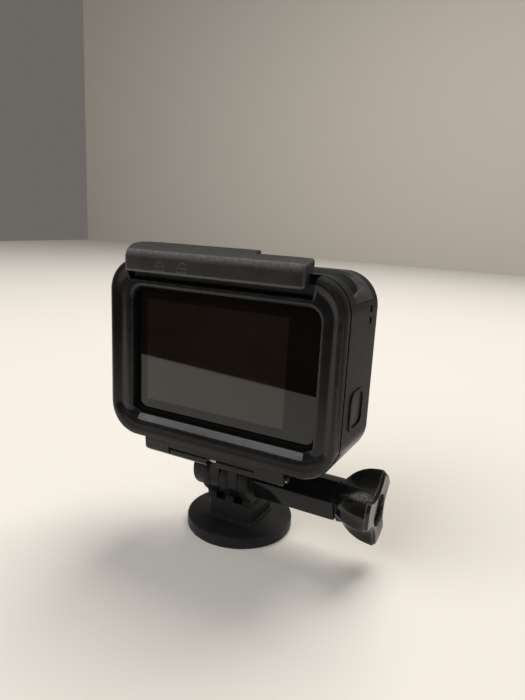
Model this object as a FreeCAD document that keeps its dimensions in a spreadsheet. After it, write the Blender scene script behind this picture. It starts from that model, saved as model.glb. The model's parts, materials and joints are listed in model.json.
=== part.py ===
import FreeCAD, Part
import math
import os

import Sketcher

# A compact action camera held in a clip-together frame, on a disc-shaped tripod foot.
# Millimetres. The origin is the mouth of the tripod thread, in the middle of the foot's underside.
# X runs along the camera's long side, +Y is where the lens looks and +Z is up.

SIZES = {
    # Foot: a disc, a block on it, and three prongs that lean back to the tilt axis.
    "disc_radius": 16.1,
    "disc_depth": 3.5,
    "disc_edge": 0.5,
    "block_half_width": 7.5,
    "block_half_depth": 6.9,
    "block_top": 9.6,
    "ledge": 0.5,
    "tilt_y": -3.4,
    "tilt_z": 18.5,
    "prong_radius": 7.5,
    "prong_width": 2.9,
    "prong_pitch": 6.05,
    "finger_width": 2.95,
    "boss_radius": 6.4,
    "boss_length": 3.8,
    "nut_flats": 8.0,
    "nut_length": 3.7,
    "insert_radius": 4.0,
    "insert_length": 7.0,
    "thread_minor_radius": 2.6,
    # Thumbscrew: an M5 bolt moulded into a long-necked, three-lobed knob.
    "bolt_radius": 2.5,
    "bore_clearance": 0.1,
    "washer_radius": 5.0,
    "washer_length": 0.7,
    "axial_gap": 0.05,
    "bolt_recess": 0.3,
    "bolt_end": 21.0,
    "neck_radius": 5.7,
    "knob_start": 33.6,
    "knob_end": 44.3,
    "knob_radius": 10.6,
    "knob_flare": 5.0,
    "flare_step": 0.4,
    "flare_run_in": 0.2,
    "scallop_radius": 9.4,
    "scallop_distance": 15.0,
    "dish_radius": 4.6,
    "dish_depth": 1.2,
    # Frame: a shell that the camera slides into from the rear.
    "middle_x": 3.4,
    "frame_width": 68.2,
    "frame_low": 31.3,
    "frame_high": 80.8,
    "frame_corner": 9.0,
    "frame_front": 3.4,
    "front_round": 3.5,
    "lip_depth": 1.4,
    "window_left": -25.4,
    "window_right": 32.0,
    "window_low": 36.2,
    "window_high": 77.0,
    "window_corner": 5.0,
    "slip": 0.15,
    "finger_room": 0.7,
    "mode_room": 0.45,
    "mode_rim": 1.0,
    "mode_rim_height": 0.35,
    "mode_rim_corner": 2.6,
    "mode_hole_corner": 1.8,
    "slit_rear": -5.6,
    "slit_width": 1.7,
    "slit_low": 68.4,
    "slit_height": 1.7,
    "slit_pitch": 2.9,
    "slit_depth": 1.2,
    "port_rear": -14.2,
    "port_front": -3.8,
    "port_low": 44.0,
    "port_high": 68.0,
    "port_corner": 3.0,
    # Rear door and its hinge.
    "door_rear": -23.8,
    "door_front": -19.5,
    "door_round": 2.0,
    "opening_left": -23.3,
    "opening_right": 31.5,
    "opening_low": 37.0,
    "opening_high": 73.5,
    "opening_corner": 3.5,
    "door_pocket_low": 33.0,
    "door_play": 0.25,
    "hinge_y": -21.3,
    "hinge_z": 29.25,
    "knuckle_radius": 1.85,
    "knuckle_gap": 0.25,
    "hinge_pin_radius": 0.75,
    "hinge_slot": 1.5,
    "pin_slip": 0.05,
    "hinge_pin_inset": 0.3,
    "hinge_pin_reach": 0.4,
    "knuckle_inner": 13.5,
    "knuckle_outer": 21.4,
    "skirt_low": 30.1,
    "skirt_root": 1.6,
    "flank_root": 0.6,
    "lip_low": 28.2,
    "arm_front": -16.5,
    # Latch on the top rear edge.
    "latch_left": -24.0,
    "latch_right": 27.4,
    "latch_rear": -25.2,
    "latch_step_x": 11.5,
    "latch_low": 78.0,
    "latch_edge_z": 82.6,
    "latch_under": 81.2,
    "latch_lip": 2.6,
    "latch_chamfer": 0.6,
    "latch_right_front": -19.3,
    "latch_right_top": 84.4,
    "latch_top": 85.0,
    "latch_front": -14.95,
    "latch_corner": 6.5,
    "latch_y": -16.2,
    "latch_z": 82.4,
    "crest_back": 0.5,
    "hub_front": 0.85,
    "hub_flank": 0.9,
    "hub_depth": 1.25,
    "hub_rear": 1.4,
    "lug_root": 0.3,
    "lug_slot_drop": 0.3,
    "end_relief_back": 2.0,
    "end_relief_height": 1.2,
    "lug_radius": 1.3,
    "lug_width": 3.0,
    "lug_left": -15.0,
    "lug_right": 5.0,
    "lug_clear": 0.25,
    "latch_pin_radius": 0.7,
    "latch_pin_inset": 0.4,
    "recess_left": -24.4,
    "recess_right": 29.7,
    "recess_low": 75.2,
    "rib_high": 77.2,
    "rib_depth": 0.9,
    # Camera body inside the frame.
    "camera_width": 62.3,
    "camera_low": 33.6,
    "camera_high": 78.5,
    "camera_rear": -20.6,
    "camera_front": 1.9,
    "camera_corner": 7.4,
    "seam_y": -15.5,
    "wall": 1.5,
    "edge_round": 1.3,
    "gasket_inset": 0.45,
    "gasket_size": 0.6,
    "lid_corner": 1.5,
    "lid_gap": 0.12,
    "lid_sunk": 0.05,
    "status_left": 12.0,
    "status_right": 29.0,
    "status_low": 60.0,
    "status_high": 73.0,
    "side_door_rear": -13.2,
    "side_door_front": -3.6,
    "glass_rear": -20.8,
    "glass_depth": 1.0,
    "glass_border": 2.4,
    "rear_wall": 0.9,
    "screen_x": 1.45,
    "screen_z": 56.1,
    "screen_width": 43.6,
    "screen_height": 29.6,
    "screen_depth": 2.1,
    # Lens, at the upper left seen from the rear.
    "lens_x": -12.6,
    "lens_z": 64.2,
    "bump_width": 24.6,
    "bump_corner": 4.5,
    "bump_front": 7.6,
    "cover_front": 11.2,
    "cover_round": 1.0,
    "cover_glass_width": 20.6,
    "cover_glass_depth": 1.2,
    "cover_glass_corner": 3.3,
    "cover_glass_sunk": 0.2,
    "barrel_radius": 8.4,
    "barrel_wall": 1.1,
    "barrel_rear": -6.4,
    "barrel_front": 8.2,
    "barrel_room": 0.3,
    # Buttons.
    "shutter_x": 21.2,
    "shutter_y": -9.0,
    "shutter_radius": 4.9,
    "shutter_top": 79.4,
    "mode_y": -10.4,
    "mode_z": 47.4,
    "mode_width": 6.8,
    "mode_height": 7.6,
    "mode_corner": 1.5,
    "mode_flange_corner": 2.2,
    "mode_face_x": 37.3,
    "button_gap": 0.12,
    "flange_gap": 0.05,
    "flange": 0.8,
    "flange_depth": 0.9,
    "shutter_travel": 0.6,
    "mode_travel": 0.5,
    "switch_gap": 0.1,
    "shutter_switch_radius": 2.6,
    "shutter_switch_depth": 1.4,
    "mode_switch_radius": 1.5,
    "mode_switch_depth": 1.2,
    "channel_depth": 1.0,
    "channel_start": 12.0,
    "channel_drop": 6.5,
    "channel_rear": -15.6,
    "channel_front": -3.0,
    # Inside the camera.
    "battery_width": 29.6,
    "battery_depth": 10.0,
    "battery_height": 29.5,
    "battery_x": -3.1,
    "battery_y": -13.4,
    "battery_z": 36.4,
    "battery_margin": 0.4,
    "battery_door_margin": 0.8,
    "bay_room": 0.25,
    "bay_wall": 0.7,
    "bay_rear_room": 0.1,
    "bay_lift": 0.2,
    "seal_depth": 0.8,
    "board_rear": -15.0,
    "board_depth": 1.0,
    "board_side_margin": 0.6,
    "board_low_margin": 0.8,
    "board_high_margin": 2.8,
    "board_corner": 1.0,
    "chip_depth": 1.1,
    "spreader_left": -20.0,
    "spreader_right": 26.0,
    "spreader_low": 50.0,
    "spreader_high": 68.0,
    "spreader_corner": 2.0,
    "spreader_gap": 0.2,
    "sensor_gap": 0.6,
    "sensor_depth": 1.0,
    "sensor_half_width": 4.0,
    "sensor_half_height": 3.2,
    "sensor_board_half_width": 6.6,
    "sensor_board_half_height": 7.5,
    "status_gap": 0.15,
    "status_window_corner": 1.4,
    "status_panel_depth": 1.5,
    "status_panel_inset": 1.0,
    "socket_inset": 1.2,
    "socket_reach": 6.9,
    "socket_rear": -10.2,
    "socket_front": -6.9,
    "card_width": 11.0,
    "card_gap": 2.5,
    "card_rear": -12.2,
    "card_depth": 0.8,
    "card_low": 37.5,
    "card_height": 15.0,
    "speaker_left": -17.5,
    "speaker_right": -6.5,
    "speaker_low": 37.0,
    "speaker_high": 44.0,
    "speaker_rear": -9.5,
    "speaker_front": -6.0,
    "speaker_corner": 2.0,
    "microphone_half_width": 1.6,
    "microphone_half_height": 1.3,
    "microphone_depth": 1.1,
    "lamp_radius": 0.9,
    "lamp_depth": 0.8,
    "post_radius": 2.0,
    "post_inset": 4.0,
    "screw_radius": 0.7,
    "screw_head_radius": 1.3,
    "screw_head_depth": 0.8,
    "screw_end": -8.5,
    "screw_hole_end": -8.0,
    # How far joined shapes run into one another, and how far a cut runs past what it cuts.
    "overlap": 0.5,
    "past": 1.0,
}

LOBE_ANGLE = 48  # degrees from +Y towards +Z of the knob's first lobe
LENS_ELEMENTS = (
    # name, flat rear, front of the rim, crown of the dome
    ("front_lens_element", 5.0, 5.9, 8.0),
    ("middle_lens_element", 0.8, 1.4, 2.8),
    ("rear_lens_element", -5.6, -5.0, -3.4),
)
CHIPS = ((0.0, 52.0, 12.0), (15.0, 54.0, 8.0))  # left, low, side
SOCKETS = (("usb_socket", 58.0, 67.0), ("hdmi_socket", 46.0, 52.6))  # name, low, high
MICROPHONES = ((8.0, 70.5), (8.0, 58.0), (31.3, 57.0))  # middle X, middle Z
LAMPS = ((31.0, 68.0), (31.0, 64.0))  # middle X, middle Z


class Size:
    """A length that carries its value and the spreadsheet expression that it comes from."""

    def __init__(self, value, text):
        self.value = value
        self.text = text

    def __add__(self, other):
        other = as_size(other)
        return Size(self.value + other.value, f"({self.text} + {other.text})")

    def __sub__(self, other):
        other = as_size(other)
        return Size(self.value - other.value, f"({self.text} - {other.text})")

    def __mul__(self, factor):
        return Size(self.value * factor, f"({self.text} * {factor:.6f})")

    def __neg__(self):
        return Size(-self.value, f"(-1 * {self.text})")

    def __radd__(self, other):
        return as_size(other) + self

    def __rsub__(self, other):
        return as_size(other) - self


def as_size(number):
    return number if isinstance(number, Size) else Size(float(number), f"{float(number):.6f}")


class Named:
    """The spreadsheet's aliases as attributes, such as size.disc_radius."""

    def __init__(self, table):
        for alias, value in table.items():
            setattr(self, alias, Size(value, f"sizes.{alias}"))


doc = FreeCAD.newDocument("action_camera")
sheet = doc.addObject("Spreadsheet::Sheet", "sizes")
for row, (alias, value) in enumerate(SIZES.items(), start=1):
    sheet.set(f"A{row}", alias)
    sheet.set(f"B{row}", str(value))
    sheet.setAlias(f"B{row}", alias)
doc.recompute()
size = Named(SIZES)

LENGTHWISE = "YZ_Plane"  # outlines in (Y, Z), grown along +X
DEPTHWISE = "XZ_Plane"  # outlines in (X, Z), grown along +Y
UPWARD = "XY_Plane"  # outlines in (X, Y), grown along +Z

nodes = []


def new_body(label, groups=False):
    """A sub-part. With groups, it may hold several separate solids."""
    body = doc.addObject("PartDesign::Body", label)
    body.Label = label
    body.AllowCompound = groups
    nodes.append(body)
    return body


def bind(item, target, number):
    item.setExpression(target, as_size(number).text)


def new_sketch(body, plane, level):
    sketch = body.newObject("Sketcher::SketchObject", body.Label + "_outline")
    origin_plane = next(item for item in body.Origin.OriginFeatures if item.Role == plane)
    sketch.AttachmentSupport = (origin_plane, [""])
    sketch.MapMode = "FlatFace"
    level = as_size(level)
    bind(sketch, "AttachmentOffset.Base.z", -level if plane == DEPTHWISE else level)
    return sketch


def place_point(sketch, geometry, point, across, up):
    """Fix one point of a sketch's geometry by its two coordinates."""
    for kind, number in (("DistanceX", across), ("DistanceY", up)):
        number = as_size(number)
        index = sketch.addConstraint(Sketcher.Constraint(kind, -1, 1, geometry, point, number.value))
        bind(sketch, f"Constraints[{index}]", number)


def circle(sketch, across, up, radius):
    across, up, radius = as_size(across), as_size(up), as_size(radius)
    centre = FreeCAD.Vector(across.value, up.value, 0)
    geometry = sketch.addGeometry(Part.Circle(centre, FreeCAD.Vector(0, 0, 1), radius.value))
    place_point(sketch, geometry, 3, across, up)
    index = sketch.addConstraint(Sketcher.Constraint("Radius", geometry, radius.value))
    bind(sketch, f"Constraints[{index}]", radius)


def polygon(sketch, *corners):
    corners = [(as_size(across), as_size(up)) for across, up in corners]
    points = [FreeCAD.Vector(across.value, up.value, 0) for across, up in corners]
    count = len(points)
    lines = []
    for index in range(count):
        segment = Part.LineSegment(points[index], points[(index + 1) % count])
        lines.append(sketch.addGeometry(segment))
    for index in range(count):
        following = lines[(index + 1) % count]
        sketch.addConstraint(Sketcher.Constraint("Coincident", lines[index], 2, following, 1))
    for line, (across, up) in zip(lines, corners):
        place_point(sketch, line, 1, across, up)


def rectangle(sketch, left, right, low, high):
    polygon(sketch, (left, low), (right, low), (right, high), (left, high))


def rounded(sketch, left, right, low, high, radius):
    """A rectangle with round corners."""
    left, right, low, high, radius = (as_size(number) for number in (left, right, low, high, radius))
    reach = radius.value
    x_low, x_high = left.value + reach, right.value - reach
    y_low, y_high = low.value + reach, high.value - reach
    corners = [(x_low, y_low, 180), (x_high, y_low, 270), (x_high, y_high, 0), (x_low, y_high, 90)]
    arcs = []
    for across, up, start in corners:
        whole = Part.Circle(FreeCAD.Vector(across, up, 0), FreeCAD.Vector(0, 0, 1), reach)
        turn = math.radians(start)
        arcs.append(sketch.addGeometry(Part.ArcOfCircle(whole, turn, turn + math.pi / 2)))
    ends = [
        ((x_low, low.value), (x_high, low.value)),
        ((right.value, y_low), (right.value, y_high)),
        ((x_high, high.value), (x_low, high.value)),
        ((left.value, y_high), (left.value, y_low)),
    ]
    for index, (start, end) in enumerate(ends):
        line = sketch.addGeometry(Part.LineSegment(FreeCAD.Vector(*start, 0), FreeCAD.Vector(*end, 0)))
        sketch.addConstraint(Sketcher.Constraint("Tangent", arcs[index], 2, line, 1))
        sketch.addConstraint(Sketcher.Constraint("Tangent", line, 2, arcs[(index + 1) % 4], 1))
        direction = "Vertical" if index % 2 else "Horizontal"
        sketch.addConstraint(Sketcher.Constraint(direction, line))
    for arc in arcs[1:]:
        sketch.addConstraint(Sketcher.Constraint("Equal", arcs[0], arc))
    place_point(sketch, arcs[0], 3, left + radius, low + radius)
    place_point(sketch, arcs[2], 3, right - radius, high - radius)
    index = sketch.addConstraint(Sketcher.Constraint("Radius", arcs[0], reach))
    bind(sketch, f"Constraints[{index}]", radius)


def corner_cut(sketch, left, high, radius):
    """What rounding an upper left corner takes away."""
    left, high, radius = as_size(left), as_size(high), as_size(radius)
    reach = radius.value
    low_end = FreeCAD.Vector(left.value, high.value - reach, 0)
    corner = FreeCAD.Vector(left.value, high.value, 0)
    far_end = FreeCAD.Vector(left.value + reach, high.value, 0)
    rise = sketch.addGeometry(Part.LineSegment(low_end, corner))
    run = sketch.addGeometry(Part.LineSegment(corner, far_end))
    centre = FreeCAD.Vector(left.value + reach, high.value - reach, 0)
    whole = Part.Circle(centre, FreeCAD.Vector(0, 0, 1), reach)
    arc = sketch.addGeometry(Part.ArcOfCircle(whole, math.pi / 2, math.pi))
    sketch.addConstraint(Sketcher.Constraint("Coincident", rise, 2, run, 1))
    sketch.addConstraint(Sketcher.Constraint("Coincident", run, 2, arc, 1))
    sketch.addConstraint(Sketcher.Constraint("Coincident", arc, 2, rise, 1))
    place_point(sketch, rise, 2, left, high)
    place_point(sketch, rise, 1, left, high - radius)
    place_point(sketch, run, 2, left + radius, high)
    index = sketch.addConstraint(Sketcher.Constraint("Radius", arc, reach))
    bind(sketch, f"Constraints[{index}]", radius)


def grow(body, plane, start, end, outline, *numbers):
    """Add material over an outline, from one level to a higher one."""
    sketch = new_sketch(body, plane, start)
    outline(sketch, *numbers)
    pad = body.newObject("PartDesign::Pad", body.Label + "_pad")
    pad.Profile = sketch
    pad.Reversed = plane == DEPTHWISE
    bind(pad, "Length", as_size(end) - start)
    return pad


def carve(body, plane, start, end, outline, *numbers):
    """Take material away over an outline, from one level to a higher one."""
    sketch = new_sketch(body, plane, start)
    outline(sketch, *numbers)
    pocket = body.newObject("PartDesign::Pocket", body.Label + "_pocket")
    pocket.Profile = sketch
    pocket.Reversed = plane != DEPTHWISE
    bind(pocket, "Length", as_size(end) - start)
    return pocket


def round_edges(body, radius, chosen):
    """Round the edges of the body so far whose midpoint is chosen."""
    doc.recompute()
    base = body.Tip
    names = []
    for index, edge in enumerate(base.Shape.Edges, start=1):
        if chosen(edge.CenterOfMass):
            names.append(f"Edge{index}")
    fillet = body.newObject("PartDesign::Fillet", body.Label + "_round")
    fillet.Base = (base, names)
    bind(fillet, "Radius", radius)
    return fillet


def at_level(axis, level):
    """Whether a point lies at a level along X (0), Y (1) or Z (2)."""
    return lambda point: abs(point[axis] - level.value) < 1e-4


# ---- Places that several sub-parts share ----

frame_left = size.middle_x - size.frame_width * 0.5
frame_right = size.middle_x + size.frame_width * 0.5
camera_left = size.middle_x - size.camera_width * 0.5
camera_right = size.middle_x + size.camera_width * 0.5
shell_rear = size.door_front + size.slip
lip_rear = size.frame_front - size.lip_depth
prong_outer = size.prong_pitch + size.prong_width * 0.5
boss_left = -prong_outer - size.boss_length
washer_right = prong_outer + size.axial_gap + size.washer_length
nut_corner = size.nut_flats * (0.5 / math.cos(math.radians(30)))
camera_outline = (camera_left, camera_right, size.camera_low, size.camera_high, size.camera_corner)
cavity_left = camera_left + size.wall
cavity_right = camera_right - size.wall
cavity_low = size.camera_low + size.wall
cavity_high = size.camera_high - size.wall
cavity_outline = (cavity_left, cavity_right, cavity_low, cavity_high, size.camera_corner - size.wall)
bump_half = size.bump_width * 0.5
bump_outline = (
    size.lens_x - bump_half,
    size.lens_x + bump_half,
    size.lens_z - bump_half,
    size.lens_z + bump_half,
    size.bump_corner,
)
glass_outline = (
    camera_left + size.glass_border,
    camera_right - size.glass_border,
    size.camera_low + size.glass_border,
    size.camera_high - size.glass_border,
    size.camera_corner - size.glass_border,
)
screen_outline = (
    size.screen_x - size.screen_width * 0.5,
    size.screen_x + size.screen_width * 0.5,
    size.screen_z - size.screen_height * 0.5,
    size.screen_z + size.screen_height * 0.5,
)
glass_front = size.glass_rear + size.glass_depth
screen_front = glass_front + size.screen_depth
post_places = [
    (cavity_left + size.post_inset * 0.5, cavity_low + size.post_inset * 0.5),
    (cavity_right - size.post_inset * 0.5, cavity_low + size.post_inset * 0.5),
    (cavity_left + size.post_inset * 0.5, cavity_high - size.post_inset * 0.5),
    (cavity_right - size.post_inset * 0.5, cavity_high - size.post_inset * 0.5),
]
status_hole = (size.status_left, size.status_right, size.status_low, size.status_high)
side_door_hole = (size.side_door_rear, size.side_door_front, size.port_low, size.port_high)
battery_door_hole = (
    size.battery_x - size.battery_margin,
    size.battery_x + size.battery_width + size.battery_margin,
    size.battery_y - size.battery_door_margin,
    size.battery_y + size.battery_depth + size.battery_door_margin,
)
shutter_place = (size.shutter_x, size.shutter_y)


def drawn_in(outline, inset):
    """A left, right, low and high outline, smaller by inset on every side."""
    left, right, low, high = outline
    return left + inset, right - inset, low + inset, high - inset


def middle_outline(across, up, half_width, half_height):
    """A left, right, low and high outline round its middle."""
    return across - half_width, across + half_width, up - half_height, up + half_height


def ring_at(centre_across, centre_up, radius, angle):
    """A point on a circle, for outlines that repeat round an axis."""
    turn = math.radians(angle)
    return centre_across + radius * math.cos(turn), centre_up + radius * math.sin(turn)


def hexagon(sketch, across, up, corner_radius, first_angle):
    polygon(sketch, *(ring_at(across, up, corner_radius, first_angle + 60 * turn) for turn in range(6)))


# ---- Foot ----


def make_foot():
    foot = new_body("tripod_foot")
    half_depth = size.block_half_depth
    half_width = size.block_half_width
    grow(foot, UPWARD, 0, size.disc_depth, circle, 0, 0, size.disc_radius)
    round_edges(foot, size.disc_edge, at_level(2, size.disc_depth))
    ledge_x = half_width + size.ledge
    ledge_y = half_depth + size.ledge
    ledge_top = size.disc_depth + size.ledge
    grow(foot, UPWARD, size.disc_depth, ledge_top, rectangle, -ledge_x, ledge_x, -ledge_y, ledge_y)
    grow(foot, UPWARD, ledge_top, size.block_top, rectangle, -half_width, half_width, -half_depth, half_depth)
    for step in (-1, 0, 1):
        left = size.prong_pitch * step - size.prong_width * 0.5
        right = left + size.prong_width
        rear, front = -half_depth, size.tilt_y + size.prong_radius
        root = size.block_top - size.overlap
        grow(foot, LENGTHWISE, left, right, rectangle, rear, front, root, size.tilt_z)
        grow(foot, LENGTHWISE, left, right, circle, size.tilt_y, size.tilt_z, size.prong_radius)
    grow(foot, LENGTHWISE, boss_left, -prong_outer, circle, size.tilt_y, size.tilt_z, size.boss_radius)
    carve(foot, LENGTHWISE, boss_left, -prong_outer, hexagon, size.tilt_y, size.tilt_z, nut_corner, 0)
    bore = size.bolt_radius + size.bore_clearance
    carve(foot, LENGTHWISE, -prong_outer, prong_outer, circle, size.tilt_y, size.tilt_z, bore)
    carve(foot, UPWARD, 0, size.insert_length, circle, 0, 0, size.insert_radius)


def make_foot_metal():
    insert = new_body("threaded_insert")
    grow(insert, UPWARD, 0, size.insert_length, circle, 0, 0, size.insert_radius)
    carve(insert, UPWARD, 0, size.insert_length, circle, 0, 0, size.thread_minor_radius)
    nut = new_body("hex_nut")
    right = -prong_outer
    left = right - size.nut_length
    grow(nut, LENGTHWISE, left, right, hexagon, size.tilt_y, size.tilt_z, nut_corner, 0)
    bore = size.bolt_radius + size.bore_clearance * 0.5
    carve(nut, LENGTHWISE, left, right, circle, size.tilt_y, size.tilt_z, bore)


# ---- Thumbscrew ----


def make_thumbscrew():
    washer = new_body("nylon_washer")
    left = prong_outer + size.axial_gap
    grow(washer, LENGTHWISE, left, washer_right, circle, size.tilt_y, size.tilt_z, size.washer_radius)
    bore = size.bolt_radius + size.bore_clearance
    carve(washer, LENGTHWISE, left, washer_right, circle, size.tilt_y, size.tilt_z, bore)

    bolt = new_body("thumbscrew_bolt")
    bolt_left = boss_left + size.bolt_recess
    grow(bolt, LENGTHWISE, bolt_left, size.bolt_end, circle, size.tilt_y, size.tilt_z, size.bolt_radius)

    knob = new_body("thumbscrew_knob")
    neck_left = washer_right + size.axial_gap
    middle = (size.tilt_y, size.tilt_z)
    grow(knob, LENGTHWISE, neck_left, size.knob_end, hexagon, *middle, size.neck_radius, LOBE_ANGLE)
    grow(knob, LENGTHWISE, size.knob_start, size.knob_end, circle, *middle, size.knob_radius)
    for turn in range(3):
        place = ring_at(*middle, size.scallop_distance, LOBE_ANGLE + 60 + 120 * turn)
        carve(knob, LENGTHWISE, size.knob_start, size.knob_end, circle, *place, size.scallop_radius)
    flare_start = size.knob_start - size.flare_run_in
    flare_root = size.neck_radius + size.flare_step
    outside = size.knob_radius + size.overlap
    sketch = new_sketch(knob, DEPTHWISE, size.tilt_y)
    polygon(
        sketch,
        (flare_start, size.tilt_z + flare_root),
        (size.knob_start + size.knob_flare, size.tilt_z + outside),
        (flare_start, size.tilt_z + outside),
    )
    axis_line = sketch.addGeometry(
        Part.LineSegment(
            FreeCAD.Vector(size.knob_start.value, size.tilt_z.value, 0),
            FreeCAD.Vector(size.knob_end.value, size.tilt_z.value, 0),
        ),
        True,
    )
    place_point(sketch, axis_line, 1, size.knob_start, size.tilt_z)
    place_point(sketch, axis_line, 2, size.knob_end, size.tilt_z)
    flare = knob.newObject("PartDesign::Groove", "thumbscrew_knob_flare")
    flare.Profile = sketch
    flare.ReferenceAxis = (sketch, ["Axis0"])
    flare.Angle = 360
    dish_start = size.knob_end - size.dish_depth
    carve(knob, LENGTHWISE, dish_start, size.knob_end, circle, *middle, size.dish_radius)
    carve(knob, LENGTHWISE, neck_left, size.bolt_end, circle, *middle, size.bolt_radius)


# ---- Frame ----


def make_frame():
    frame = new_body("frame_base")
    outline = (frame_left, frame_right, size.frame_low, size.frame_high, size.frame_corner)
    grow(frame, DEPTHWISE, shell_rear, size.frame_front, rounded, *outline)
    round_edges(frame, size.front_round, at_level(1, size.frame_front))
    slip = size.slip
    pocket = (
        camera_left - slip,
        camera_right + slip,
        size.camera_low - slip,
        size.camera_high + slip,
        size.camera_corner + slip,
    )
    carve(frame, DEPTHWISE, shell_rear, lip_rear, rounded, *pocket)
    window = (size.window_left, size.window_right, size.window_low, size.window_high, size.window_corner)
    carve(frame, DEPTHWISE, lip_rear, size.frame_front, rounded, *window)

    mode_hole = drawn_in(mode_button_outline(), -size.mode_room)
    rim_outline = drawn_in(mode_hole, -size.mode_rim)
    rim_top = frame_right + size.mode_rim_height
    rim_root = frame_right - size.overlap
    grow(frame, LENGTHWISE, rim_root, rim_top, rounded, *rim_outline, size.mode_rim_corner)
    hole_start = camera_right + slip - size.past
    carve(frame, LENGTHWISE, hole_start, rim_top, rounded, *mode_hole, size.mode_hole_corner)
    for step in (1, 0):
        low = size.slit_low + size.slit_pitch * step
        slit = (size.slit_rear, size.slit_rear + size.slit_width, low, low + size.slit_height)
        carve(frame, LENGTHWISE, frame_right - size.slit_depth, frame_right, rectangle, *slit)
    port = (size.port_rear, size.port_front, size.port_low, size.port_high, size.port_corner)
    carve(frame, LENGTHWISE, frame_left, camera_left, rounded, *port)
    shutter_hole = size.shutter_radius + size.finger_room
    carve(frame, UPWARD, size.camera_high, size.frame_high, circle, *shutter_place, shutter_hole)

    for step in (-0.5, 0.5):
        left = size.prong_pitch * step - size.finger_width * 0.5
        right = left + size.finger_width
        rear, front = size.tilt_y - size.prong_radius, size.tilt_y + size.prong_radius
        root = size.frame_low + size.overlap
        grow(frame, LENGTHWISE, left, right, rectangle, rear, front, size.tilt_z, root)
        grow(frame, LENGTHWISE, left, right, circle, size.tilt_y, size.tilt_z, size.prong_radius)
    bore = size.bolt_radius + size.bore_clearance
    carve(frame, LENGTHWISE, -prong_outer, prong_outer, circle, size.tilt_y, size.tilt_z, bore)

    for side in (-1, 1):
        near = size.middle_x + size.hinge_slot * side
        far = size.middle_x + (size.knuckle_inner - size.knuckle_gap * 0.5) * side
        left, right = (far, near) if side < 0 else (near, far)
        low = size.hinge_z - size.knuckle_radius
        top = size.hinge_z + size.knuckle_radius
        link = (shell_rear, size.arm_front, low, size.frame_low + size.overlap)
        grow(frame, LENGTHWISE, left, right, rectangle, *link)
        grow(frame, LENGTHWISE, left, right, rectangle, size.hinge_y, size.arm_front, low, top)
        grow(frame, LENGTHWISE, left, right, circle, size.hinge_y, size.hinge_z, size.knuckle_radius)
        pin = (size.hinge_y, size.hinge_z, size.hinge_pin_radius)
        carve(frame, LENGTHWISE, left, right, circle, *pin)

    for left in (size.lug_left, size.lug_right):
        right = left + size.lug_width
        rear, front = size.latch_y - size.lug_radius, size.latch_y + size.lug_radius
        root = size.frame_high - size.lug_root
        grow(frame, LENGTHWISE, left, right, rectangle, rear, front, root, size.latch_z)
        grow(frame, LENGTHWISE, left, right, circle, size.latch_y, size.latch_z, size.lug_radius)
        carve(frame, LENGTHWISE, left, right, circle, size.latch_y, size.latch_z, size.latch_pin_radius)
    nodes.remove(frame)

    # The finger channel round the shutter button follows the outer corner at an even depth.
    block = doc.addObject("Part::Box", "channel_block")
    bind(block, "Length", frame_right - size.channel_start + size.past)
    bind(block, "Width", size.channel_front - size.channel_rear)
    bind(block, "Height", size.channel_drop + size.past)
    bind(block, "Placement.Base.x", size.channel_start)
    bind(block, "Placement.Base.y", size.channel_rear)
    bind(block, "Placement.Base.z", size.frame_high - size.channel_drop)
    core = new_body("channel_core")
    nodes.remove(core)
    depth = size.channel_depth
    inset = (frame_left, frame_right - depth, size.frame_low, size.frame_high - depth)
    core_levels = (size.channel_rear - size.past, size.channel_front + size.past)
    grow(core, DEPTHWISE, *core_levels, rounded, *inset, size.frame_corner - depth)
    channel = doc.addObject("Part::Cut", "channel")
    channel.Base = block
    channel.Tool = core
    shell = doc.addObject("Part::Cut", "frame_shell")
    shell.Label = "frame_shell"
    shell.Base = frame
    shell.Tool = channel
    nodes.append(shell)


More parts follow.
